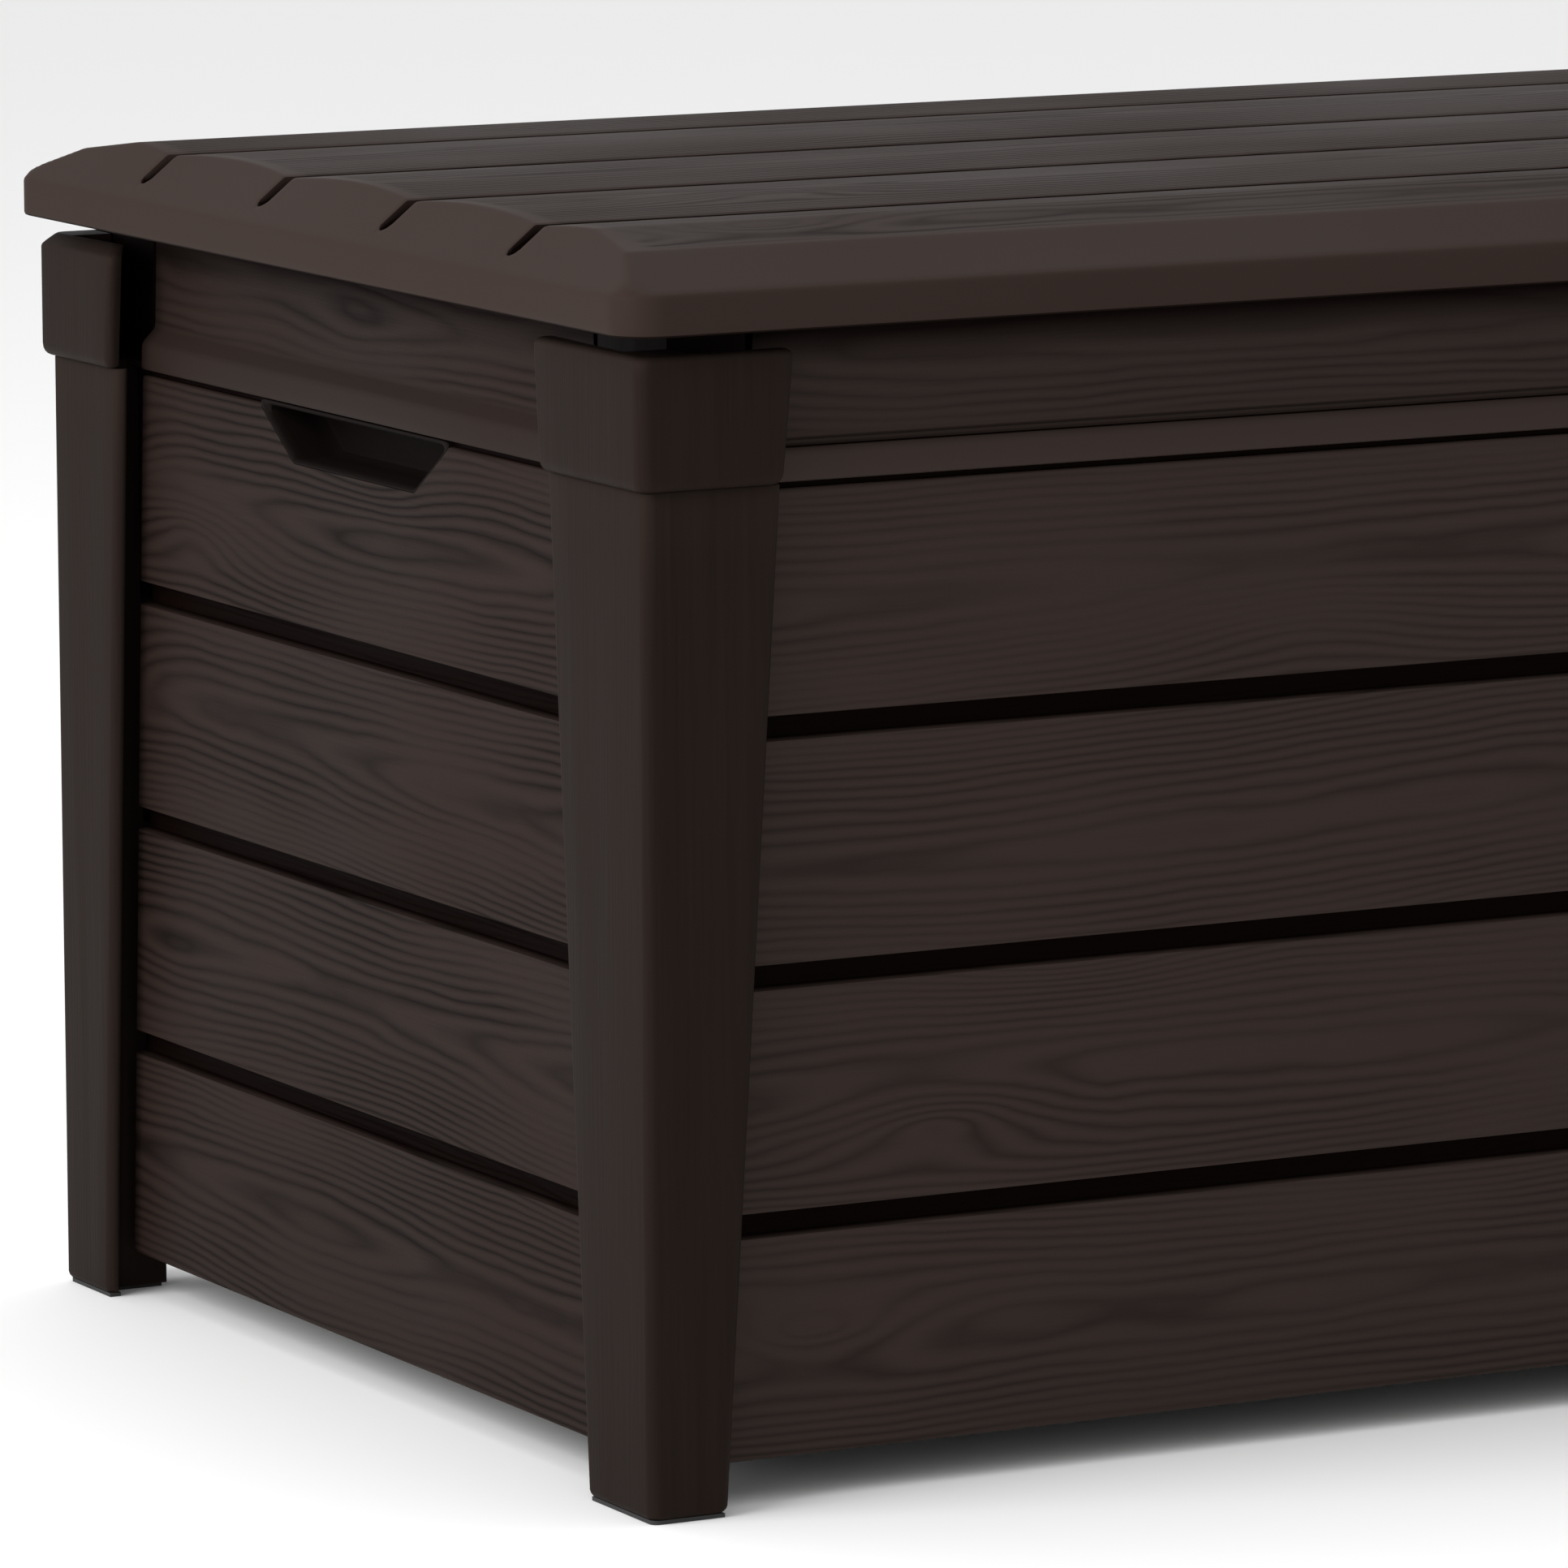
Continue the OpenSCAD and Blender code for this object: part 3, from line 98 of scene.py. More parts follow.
# ------------------------------------------------------------------ helpers
def mesh_piece(name, verts, faces, body, smooth=40):
    """A mesh object from vertices in mm and faces, shaded smooth below an angle."""
    me = bpy.data.meshes.new(name)
    me.from_pydata([tuple(c * MM for c in v) for v in verts], [], faces)
    me.validate()
    bm = bmesh.new()
    bm.from_mesh(me)
    bmesh.ops.recalc_face_normals(bm, faces=bm.faces)
    bm.to_mesh(me)
    bm.free()
    for p in me.polygons:
        p.use_smooth = True
    me.set_sharp_from_angle(angle=math.radians(smooth))
    ob = bpy.data.objects.new(name, me)
    bpy.context.scene.collection.objects.link(ob)
    if body:
        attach(ob, body)
    return ob


BOX_FACES = ((0, 3, 2, 1), (4, 5, 6, 7), (0, 1, 5, 4), (1, 2, 6, 5), (2, 3, 7, 6), (3, 0, 4, 7))


def add_box(faces, start):
    """The faces of a box whose 4 lower and 4 upper vertices begin at start."""
    faces.extend(tuple(start + k for k in f) for f in BOX_FACES)


def add_sides(faces, n, rows, start=0):
    """Quads between successive closed rows of n vertices that begin at start."""
    for i in range(rows - 1):
        for k in range(n):
            a, b = start + i * n + k, start + i * n + (k + 1) % n
            faces.append((a, b, b + n, a + n))


def add_ends(faces, n, rows, start=0):
    """The flat faces over the first and the last of such rows."""
    faces.append(tuple(start + k for k in range(n - 1, -1, -1)))
    faces.append(tuple(start + (rows - 1) * n + k for k in range(n)))


def lerp(a, b, t):
    """The value a share t of the way from a to b."""
    return a + (b - a) * t


def smooth_step(t):
    """An eased step from 0 to 1."""
    t = min(max(t, 0.0), 1.0)
    return t * t * (3 - 2 * t)


def spread(stops):
    """Stations from a list of (start, end, step), joined without repeats."""
    out = []
    for a, b, step in stops:
        n = max(1, int(round(abs(b - a) / step)))
        for i in range(n + 1):
            v = a + (b - a) * i / n
            if not out or abs(v - out[-1]) > 1e-6:
                out.append(v)
    return out


# ------------------------------------------------------------------ the lid
def rise(d, bevel):
    """Height of the bevelled side at a distance d in from the lid's edge."""
    pts = [(0.0, Z_SKIRT_TOP), (bevel, Z_SKIRT_TOP + BEVEL_RISE),
           (bevel * (1 + CROWN_RUN), BOX_H - CROWN_SOFT), (bevel * (2 + 2 * CROWN_RUN), BOX_H)]
    if d >= pts[-1][0]:
        return BOX_H + CROWN_SLOPE * (d - pts[-1][0])
    for (a, za), (b, zb) in zip(pts, pts[1:]):
        if d <= b:
            return za + (zb - za) * (d - a) / (b - a)


def soft_rise(d, bevel):
    """The same with its bends eased over a few millimetres."""
    w = 1.6
    if d < w:
        return rise(d, bevel)
    return sum(rise(d + o * w, bevel) for o in (-1.0, -0.5, 0.0, 0.5, 1.0)) / 5


GROOVE_YS = [(i - 1.5) * LID_PITCH for i in range(4)]


def plank_height(y):
    """Crowned top of the plank at y, before the grooves are cut."""
    edges = [-HY] + GROOVE_YS + [HY]
    for a, b in zip(edges, edges[1:]):
        if y <= b + 1e-9:
            u = 2 * (y - a) / (b - a) - 1
            return BOX_H - PLANK_CROWN + PLANK_CROWN * (1 - u * u)
    return BOX_H


def soft_min(a, b, k):
    """The smaller of two heights, eased where they come within k of each other."""
    h = max(k - abs(a - b), 0.0) / k
    return min(a, b) - h * h * k * 0.25


def lid_height(x, y):
    """Height of the lid's top, with its bevels, planks and grooves."""
    dx, dy = HX - abs(x), HY - abs(y)
    end = Z_SKIRT_TOP + END_SLOPE * max(dx - END_FLAT, 0.0)
    env = soft_min(end, soft_rise(dy, LONG_BEVEL), 1.6)
    top = soft_min(env, plank_height(y), 0.8)
    half, shoulder = LID_GROOVE_W / 2, 2.0
    for gy in GROOVE_YS:
        off = abs(y - gy)
        if off > half + shoulder:
            continue
        r = math.hypot(max(0.0, GROOVE_END - dx), off)
        # a rounded shoulder outside the groove, a round floor inside
        if r < half + shoulder:
            top -= 0.5 * smooth_step((half + shoulder - r) / shoulder)
        if r < half:
            floor = min(Z_LID_GROOVE, env - 5.5)
            t = r / half
            wall = (1 - math.sqrt(max(0.0, 1 - t ** 12))) * max(0.0, top - floor)
            top = min(top, floor + wall)
    return top


def round_corner(x, y, hx, hy, r):
    """Moves a grid point near a corner so that the grid's outline has a radius r."""
    ax, ay = abs(x) - (hx - r), abs(y) - (hy - r)
    if ax <= 0 or ay <= 0:
        return x, y
    a, b = ax / r, ay / r
    a2 = a * math.sqrt(1 - b * b / 2)
    b2 = b * math.sqrt(1 - a * a / 2)
    return (math.copysign(hx - r + a2 * r, x), math.copysign(hy - r + b2 * r, y))


def lid_grid():
    """Stations of the lid's grid along X and Y, close together over its grooves and bevels."""
    half_x = spread([(0, 560, 14.0), (560, 640, 8.0), (640, 690, 2.0), (690, 702, 1.0), (702, 717, 0.8),
                     (717, HX, 2.0)])
    near, wide = LID_GROOVE_W / 2 + 1.5, LID_GROOVE_W / 2 + 6.5
    stops, done = [], 0.0
    for g in GROOVE_YS[2:]:
        stops += [(done, g - wide, 6.0), (g - wide, g - near, 2.0), (g - near, g + near, 0.75),
                  (g + near, g + wide, 2.0)]
        done = g + wide
    half_y = spread(stops + [(done, 242, 6.0), (242, 300, 2.5), (300, 308, 1.0), (308, HY, 4.0)])
    return [[-v for v in reversed(half[1:])] + half for half in (half_x, half_y)]


def set_in(x, y, inset):
    """A point of the grid drawn in from the lid's edge, and the same point with the corner rounded."""
    gx = x * (HX - inset) / HX
    gy = y * (HY - inset) / HY
    return gx, gy, round_corner(gx, gy, HX - inset, HY - inset, LID_R - inset)


def boundary(nx, ny):
    """Indices round the edge of an nx by ny grid, counter-clockwise."""
    out = [(i, 0) for i in range(nx)] + [(nx - 1, j) for j in range(1, ny)]
    out += [(i, ny - 1) for i in range(nx - 2, -1, -1)] + [(0, j) for j in range(ny - 2, 0, -1)]
    return out


def make_lid():
    """The lid's shell: a grid for its top, loops down and round its skirt, and a grid for its inside."""
    xs, ys = lid_grid()
    nx, ny = len(xs), len(ys)
    verts, faces = [], []
    edge_in = 1.6                       # the grid stops here, the skirt's rounded top edge carries on
    for x in xs:
        for y in ys:
            gx, gy, place = set_in(x, y, edge_in)
            verts.append((*place, lid_height(gx, gy)))

    def g(i, j):
        """Index of a grid vertex."""
        return i * ny + j
    for i in range(nx - 1):
        for j in range(ny - 1):
            faces.append((g(i, j), g(i + 1, j), g(i + 1, j + 1), g(i, j + 1)))
    ring = boundary(nx, ny)
    n = len(ring)

    def ring_at(inset, z):
        """A loop of the same points as the grid's edge, at a set-back and a height."""
        start = len(verts)
        for i, j in ring:
            verts.append((*set_in(xs[i], ys[j], inset)[2], z))
        return list(range(start, start + n))
    loops = [[g(i, j) for i, j in ring]]
    profile = [(0.8, Z_SKIRT_TOP - 0.1), (0.25, Z_SKIRT_TOP - 1.0), (0.0, Z_SKIRT_TOP - 2.4)]
    profile += [(0.0, lerp(Z_SKIRT_TOP - 2.4, Z_LID + 1.5, k / 4)) for k in (1, 2, 3, 4)]
    profile += [(0.45, Z_LID + 0.45), (1.5, Z_LID), (LID_WALL - 0.9, Z_LID), (LID_WALL, Z_LID + 0.9),
                (LID_WALL, 570.0), (LID_WALL + 0.6, Z_SKIRT_TOP - 3.4)]
    for inset, z in profile:
        loops.append(ring_at(inset, z))
    for a, b in zip(loops, loops[1:]):
        for k in range(n):
            faces.append((a[k], b[k], b[(k + 1) % n], a[(k + 1) % n]))
    # the inside of the shell, the same grid a wall's thickness below the top
    inner = len(verts)
    inset = LID_WALL + 2.4
    for x in xs:
        for y in ys:
            gx, gy, place = set_in(x, y, inset)
            bevels = min(soft_rise(HX - abs(gx), END_BEVEL), soft_rise(HY - abs(gy), LONG_BEVEL))
            verts.append((*place, min(lid_height(gx, gy), bevels) - LID_WALL))
    for i in range(nx - 1):
        for j in range(ny - 1):
            faces.append(tuple(inner + k for k in (g(i, j), g(i, j + 1), g(i + 1, j + 1), g(i + 1, j))))
    last = loops[-1]
    for k in range(n):
        i, j = ring[k]
        i2, j2 = ring[(k + 1) % n]
        faces.append((last[k], inner + g(i, j), inner + g(i2, j2), last[(k + 1) % n]))
    return mesh_piece("lid_shell_form", verts, faces, "lid", 50)


# ------------------------------------------------------------------ the walls
def wall_profile(front):
    """Outer outline of a wall as (set-back, height), from the bottom up."""
    pts = [(FACE + 1.6, Z_WALL), (FACE + 0.5, Z_WALL + 0.5), (FACE, Z_WALL + 1.6)]
    z = Z_WALL
    half = WALL_GROOVE_W / 2
    for i in range(N_PLANKS - 1):
        c = Z_WALL + (i + 1) * PLANK_H + (i + 0.5) * WALL_GROOVE_W
        lo = z + 4.0
        hi = c - half - 2.2
        pts += [(FACE, lerp(lo, hi, k / 6)) for k in range(0, 7)]
        for k in range(-8, 9):
            t = k / 8
            a = abs(t)
            if a > 0.86:
                d = WALL_GROOVE_D * 0.86 * (1 - math.sqrt(1 - ((1 - a) / 0.14) ** 2))
            else:
                d = WALL_GROOVE_D * (0.92 + 0.08 * math.sqrt(max(0.0, 1 - (a / 0.86) ** 2)))
            pts.append((FACE + d, c + t * (half + 0.7)))
        z = c + half
    pts += [(FACE, lerp(z + 4.0, Z_PLANKS - 2.2, k / 6)) for k in range(0, 7)]
    deep = FACE + WALL_GROOVE_D / 2
    pts += [(FACE + 0.35, Z_PLANKS - 0.7), (FACE + 1.2, Z_PLANKS), (deep - 0.6, Z_PLANKS),
            (deep, Z_PLANKS + 0.5), (deep, Z_STRIP - 0.5), (deep - 0.6, Z_STRIP), (STRIP + 1.6, Z_STRIP),
            (STRIP + 0.5, Z_STRIP + 0.5),
            (STRIP, Z_STRIP + 1.6), (STRIP, Z_STRIP + 6.0), (STRIP, Z_STRIP + STRIP_H - 2.2),
            (STRIP + 0.4, Z_STRIP + STRIP_H - 0.4), (STRIP + 1.5, Z_STRIP + STRIP_H + 1.4)]
    if front:
        pts += [(STRIP + 2.4, Z_STRIP + STRIP_H + 2.2), (STRIP + 7.6, Z_STRIP + STRIP_H + 2.5),
                (STRIP + 8.4, Z_STRIP + STRIP_H + 3.2), (STRIP + 8.4, Z_STRIP + STRIP_H + 4.6),
                (STRIP + 7.0, Z_STRIP + STRIP_H + 5.4)]
    pts += [(BAND - 1.2, Z_BAND - 1.2), (BAND - 0.3, Z_BAND + 0.4), (BAND, Z_BAND + 2.0), (BAND, 530.0),
            (BAND, Z_RIM - 1.5), (BAND + 0.5, Z_RIM - 0.4), (BAND + 1.5, Z_RIM)]
    return pts


def field_end(z, wing):
    """How far from the wall's end the planks stop at a height, under the post's leaning wing."""
    return wing[0] + (wing[1] - wing[0]) * z / Z_CAP + POST - WING_LAP


def make_wall(name, side, wings, front=False):
    """One ribbed wall: planks and moulding between two leaning ends, inside skin, ledge, ribs and rim.
    It is built along X with its outside towards -Y and then turned to its side."""
    half = HX if side in ("front", "back") else BODY_HY
    out = half_depth(side)
    outer = wall_profile(front)
    inner = [(p[0] + SKIN, p[1]) for p in outer]
    verts, faces = [], []
    stations = spread([(0.0, 1.0, 1.0 / 40)])

    def x_at(t, z):
        """Place along the wall at a share t of the way between its leaning ends."""
        a, b = (max(field_end(z, w), INNER + 0.5) for w in wings)
        return lerp(-half + a, half - b, t)
    # the skin: outer outline up, inner skin down, swept between the leaning ends
    loop = outer + [(INNER - 1.2, Z_RIM), (INNER - 0.3, Z_RIM - 0.4), (INNER, Z_RIM - 1.5),
                    (INNER, Z_RIM - FLANGE)]
    back = [(max(s, FACE + SKIN) if z < Z_PLANKS else s, z) for s, z in inner
            if Z_WALL + FLANGE < z < Z_RIM - FLANGE - 0.5]
    loop += [(BAND + SKIN, Z_RIM - FLANGE)] + list(reversed(back))
    ledge = INNER + LEDGE_W
    loop += [(FACE + SKIN, Z_WALL + FLANGE), (ledge - 1.0, Z_WALL + FLANGE), (ledge, Z_WALL + FLANGE - 1.0),
             (ledge, Z_WALL + 1.0), (ledge - 1.0, Z_WALL)]
    n = len(loop)
    for t in stations:
        for s, z in loop:
            verts.append((x_at(t, z), s - out, z))
    add_sides(faces, n, len(stations))
    add_ends(faces, n, len(stations))

    def block(x0, x1, s0, s1, z0, z1):
        """A box as part of the same moulding."""
        add_box(faces, len(verts))
        for z in (z0, z1):
            verts.extend((x, s - out, z) for x, s in ((x0, s0), (x1, s0), (x1, s1), (x0, s1)))
    end = half - INNER - 0.5
    # the flanges at both ends, and the recessed strips behind the posts
    for s in (-1, 1):
        lo, hi = (-end, -end + FLANGE) if s < 0 else (end - FLANGE, end)
        block(lo, hi, RECESS + 0.5, INNER, Z_WALL + 0.3, Z_RIM - 0.3)
    recess(verts, faces, out, end, x_at)
    # the ribs behind the skin
    pitch, rib = 116.0, 2.5
    count = int(end / pitch)
    for i in range(-count, count):
        x = (i + 0.5) * pitch
        if abs(x) + rib < min(abs(x_at(0, Z_WALL)), abs(x_at(1, Z_RIM))) - 4:
            block(x - rib / 2, x + rib / 2, FACE + WALL_GROOVE_D + SKIN - 0.8, INNER - 0.3,
                  Z_WALL + 2.0, Z_RIM - 2.0)
    ob = mesh_piece(name, verts, faces, None, 40)
    turn = {"front": 0, "back": 180, "left": -90, "right": 90}[side]
    ob.data.transform(Matrix.Rotation(math.radians(turn), 4, "Z"))
    if side in ("left", "right"):
        ob.data.transform(Matrix.Translation((0, BODY_Y * MM, 0)))
    return ob


def half_depth(side):
    """How far out from the middle the lid's edge is on a side, with the back wall's own shift."""
    return {"front": HY, "back": HY + BACK_SHIFT}.get(side, HX)


def recess(verts, faces, out, end, x_at):
    """The set-back strips between the plank field's leaning ends and the posts."""
    for sgn, t in ((-1, 0.0), (1, 1.0)):
        add_box(faces, len(verts))
        for z in (Z_WALL + 0.2, Z_RIM - 0.2):
            inner_x = x_at(t, z) - sgn * 3.0
            outer_x = sgn * (end - 0.2)
            xa, xb = (outer_x, inner_x) if sgn < 0 else (inner_x, outer_x)
            for x, s in ((xa, RECESS), (xb, RECESS), (xb, RECESS + SKIN), (xa, RECESS + SKIN)):
                verts.append((x, s - out, z))


def cut(ob, cutter):
    """Cuts one mesh out of another for good."""
    mod = ob.modifiers.new("cut", "BOOLEAN")
    mod.operation = "DIFFERENCE"
    mod.solver = "EXACT"
    mod.use_self = True
    mod.object = cutter
    dg = bpy.context.evaluated_depsgraph_get()
    me = bpy.data.meshes.new_from_object(ob.evaluated_get(dg))
    ob.modifiers.remove(mod)
    old = ob.data
    ob.data = me
    bpy.data.meshes.remove(old)
    bpy.data.objects.remove(cutter)
    for p in ob.data.polygons:
        p.use_smooth = True
    ob.data.set_sharp_from_angle(angle=math.radians(40))


def pull_outline(g):
    """Rounded trapezium of a finger pull as (y, z), grown by g."""
    slope = (PULL_TOP - PULL_BOTTOM) / 2 / PULL_H
    low = PULL_BOTTOM / 2 + g * (math.hypot(1, slope) - slope)
    high = PULL_TOP / 2 + g * (math.hypot(1, slope) + slope)
    z0, z1 = Z_PLANKS - PULL_H - g, Z_PLANKS + g
    corners = [(-low, z0, PULL_R), (low, z0, PULL_R), (high, z1, PULL_R / 2), (-high, z1, PULL_R / 2)]
    out = []
    n = len(corners)
    for k in range(n):
        p = Vector(corners[k][:2])
        a, b = Vector(corners[k - 1][:2]), Vector(corners[(k + 1) % n][:2])
        r = corners[k][2]
        ua, ub = (a - p).normalized(), (b - p).normalized()
        half = ua.angle(ub) / 2
        dist = r / math.tan(half)
        pa, pb = p + ua * dist, p + ub * dist
        for i in range(6):
            t = i / 5
            q = (1 - t) ** 2 * pa + 2 * t * (1 - t) * p + t * t * pb
            out.append((q.x, q.y))
    return out


def pull_cup(name, s):
    """The cup behind a finger pull: a rounded lip, sloped walls and a curved back."""

    def ring(g, inset):
        """The pull's outline grown by g, at a set-back from the lid's edge."""
        return [(s * (HX - inset), PULL_Y + y, z) for y, z in pull_outline(g)]
    back = FACE + PULL_DEEP
    order = [ring(CUP_T - 1, back + CUP_T), ring(CUP_T, back + CUP_T - 1), ring(CUP_T, FACE + 0.4)]
    order += [ring(CUP_T - 0.3, FACE + 0.1), ring(CUP_T - 1.0, FACE + 0.15), ring(0.8, FACE + 0.9),
              ring(0.1, FACE + 2.2), ring(0.0, FACE + 6.0), ring(-0.1, back - 8.0), ring(-0.7, back - 3.0),
              ring(-2.2, back - 0.8), ring(-4.5, back - 0.1)]
    verts, faces = [], []
    n = len(order[0])
    for r in order:
        verts += r
    add_sides(faces, n, len(order))
    faces.append(tuple(range(n)))
    faces.append(tuple((len(order) - 1) * n + k for k in range(n - 1, -1, -1)))
    return mesh_piece(name, verts, faces, "box", 35)


# ------------------------------------------------------------------ posts and caps
def corner_arc(inset, r, n=10):
    """Rounded outer corner from the end face round to the long-side face."""
    out = []
    for i in range(n + 1):
        a = math.pi + (math.pi / 2) * i / n
        out.append((inset + r + r * math.cos(a), inset + r + r * math.sin(a)))
    return out


def lip(r, n=5):
    """Quarter round from a face over the edge of a wing, as (along, deep)."""
    turns = [math.pi / 2 * i / n for i in range(n + 1)]
    return [(r * math.sin(a), r * (1 - math.cos(a))) for a in turns]


def wing_section(inset, corner_r, end_w, side_w, deep, lip_r, column, grow=0.0):
    """Closed plan outline of a post or cap, from the end wing's inside round the corner."""
    face = inset + grow
    # the end wing runs along +Y on the face x = inset
    edge = inset + end_w - grow
    pts = [(column, column)]
    if deep < column - inset:
        pts.append((inset + deep, column))
    pts.append((face + deep - grow * 0.4, edge - 0.6))
    for a, d in reversed(lip(lip_r)):
        pts.append((face + d, edge - lip_r + a))
    cuts = 5
    for k in range(1, cuts):
        pts.append((face, lerp(edge - lip_r, face + corner_r, k / cuts)))
    pts += corner_arc(face, corner_r)
    # the side wing runs along +X on the face y = inset
    edge = inset + side_w - grow
    for k in range(1, cuts):
        pts.append((lerp(face + corner_r, edge - lip_r, k / cuts), face))
    for a, d in lip(lip_r):
        pts.append((edge - lip_r + a, face + d))
    pts.append((edge - 0.6, face + deep - grow * 0.4))
    pts.append((column, inset + deep))
    return pts


def loft(sections):
    """Joins closed outlines [(z, outline)] of equal length into one solid."""
    verts, faces = [], []
    n = len(sections[0][1])
    for z, pts in sections:
        verts += [(x, y, z) for x, y in pts]
    add_sides(faces, n, len(sections))
    add_ends(faces, n, len(sections))
    return verts, faces


def corner_piece(name, sections, mx, my, neck=None):
    """A loft in the front left corner, with its neck if it is a post, mirrored to its own corner."""
    verts, faces = loft(sections)
    if neck:
        start = len(verts)
        along_end, along_side = neck
        rows = ((Z_CAP - 3.0, 0.0), (Z_RIM - 1.0, 0.0), (Z_RIM, 1.0))
        for z, g in rows:
            lo, hi = BAND + g, RECESS - g
            outline = [(lo, lo), (along_side, lo), (along_side, hi)]
            outline += [(hi, hi), (hi, along_end), (lo, along_end)]
            verts += [(x, y, z) for x, y in outline]
        add_sides(faces, len(outline), len(rows), start)
        add_ends(faces, len(outline), len(rows), start)
    back = 0.0 if my > 0 else BACK_SHIFT
    out = [(mx * (x - HX), my * (y - HY) + back, z) for x, y, z in verts]
    return mesh_piece(name, out, faces, "box", 40)


def post_sections(end, side):
    """The leg from its foot up into the cap, with rounded wings."""
    out = []
    zs = [(PAD, 2.6), (PAD + 0.8, 1.2), (PAD + 2.0, 0.4), (PAD + 3.6, 0.0)]
    zs += [(lerp(PAD + 3.6, Z_CAP - 1.0, k / 12), 0.0) for k in range(1, 13)]
    zs += [(Z_CAP - 0.4, 0.4)]
    for z, grow in zs:
        e = lerp(end[0], end[1], z / Z_CAP)
        s = lerp(side[0], side[1], z / Z_CAP)
        out.append((z, wing_section(POST, POST_R, e, s, WING_DEEP, 5.0, INNER, grow)))
    return out


def cap_sections(end, side, rear):
    """The flared cap: curled in at its foot, eased at its top, hollow under the lid."""
    over = POST - CAP + CAP_OVER
    e1, s1 = end[1] + over, side[1] + over
    rows = [(0.0, 3.0), (0.6, 1.9), (1.8, 0.9), (3.6, 0.25), (6.0, 0.0)]
    rows += [(h, 0.0) for h in (16.0, 28.0, 40.0, 52.0, 56.0)]
    rows += ([(57.2, 0.35), (58.6, 1.5), (60.4, 3.3), (62.4, 5.4), (63.0, 6.4)] if rear else
             [(60.0, 0.2), (61.4, 0.7), (62.4, 1.6), (62.8, 2.5), (63.0, 3.6)])
    out = []
    for h, grow in rows:
        f = h / (Z_CAP_TOP - Z_CAP)
        e = lerp(e1 - CAP_STEP, e1, f)
        s = lerp(s1 - CAP_STEP, s1, f)
        out.append((Z_CAP + h, wing_section(CAP, CAP_R, e, s, CAP_DEEP, 4.0, BAND - 0.6, grow)))
    return out


# ------------------------------------------------------------------ build
def cut_pull(ob, s):
    """Cuts the hole of a finger pull through an end wall, s being the side of X it is on."""
    outline = pull_outline(CUP_T + 0.05)
    n = len(outline)
    verts, faces = [], []
    for x in (s * (HX - FACE + 6.0), s * (HX - INNER - 8.0)):
        verts += [(x, PULL_Y + y, z) for y, z in outline]
    add_sides(faces, n, 2)
    add_ends(faces, n, 2)
    cut(ob, mesh_piece("cutter", verts, faces, None))


lid = make_lid()
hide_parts("lid_shell")

walls = {}
for side, wings in (("front", (LONG_SIDE, LONG_SIDE)), ("back", (LONG_SIDE, LONG_SIDE)),
                    ("left", (REAR_END, FRONT_END)), ("right", (FRONT_END, REAR_END))):
    ob = make_wall(side + "_panel_form", side, wings, side == "front")
    if side in ("left", "right"):
        cut_pull(ob, -1 if side == "left" else 1)
    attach(ob, "box")
    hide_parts(side + "_panel")
    walls[side] = ob

cups = [pull_cup("left_pull_cup_form", -1), pull_cup("right_pull_cup_form", 1)]
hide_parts("left_pull_cup")
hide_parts("right_pull_cup")

posts, caps = [], []
for fb, my, end, side in (("front", 1, FRONT_END, LONG_SIDE), ("rear", -1, REAR_END, LONG_SIDE)):
    for lr, mx in (("left", 1), ("right", -1)):
        p = corner_piece("post_%s_%s_form" % (fb, lr), post_sections(end, side), mx, my,
                         (POST + end[1] - WING_LAP, POST + side[1] - WING_LAP))
        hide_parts("post_%s_%s" % (fb, lr))
        posts.append(p)
        c = corner_piece("cap_%s_%s_form" % (fb, lr), cap_sections(end, side, fb == "rear"), mx, my)
        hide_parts("cap_%s_%s" % (fb, lr))
        caps.append(c)


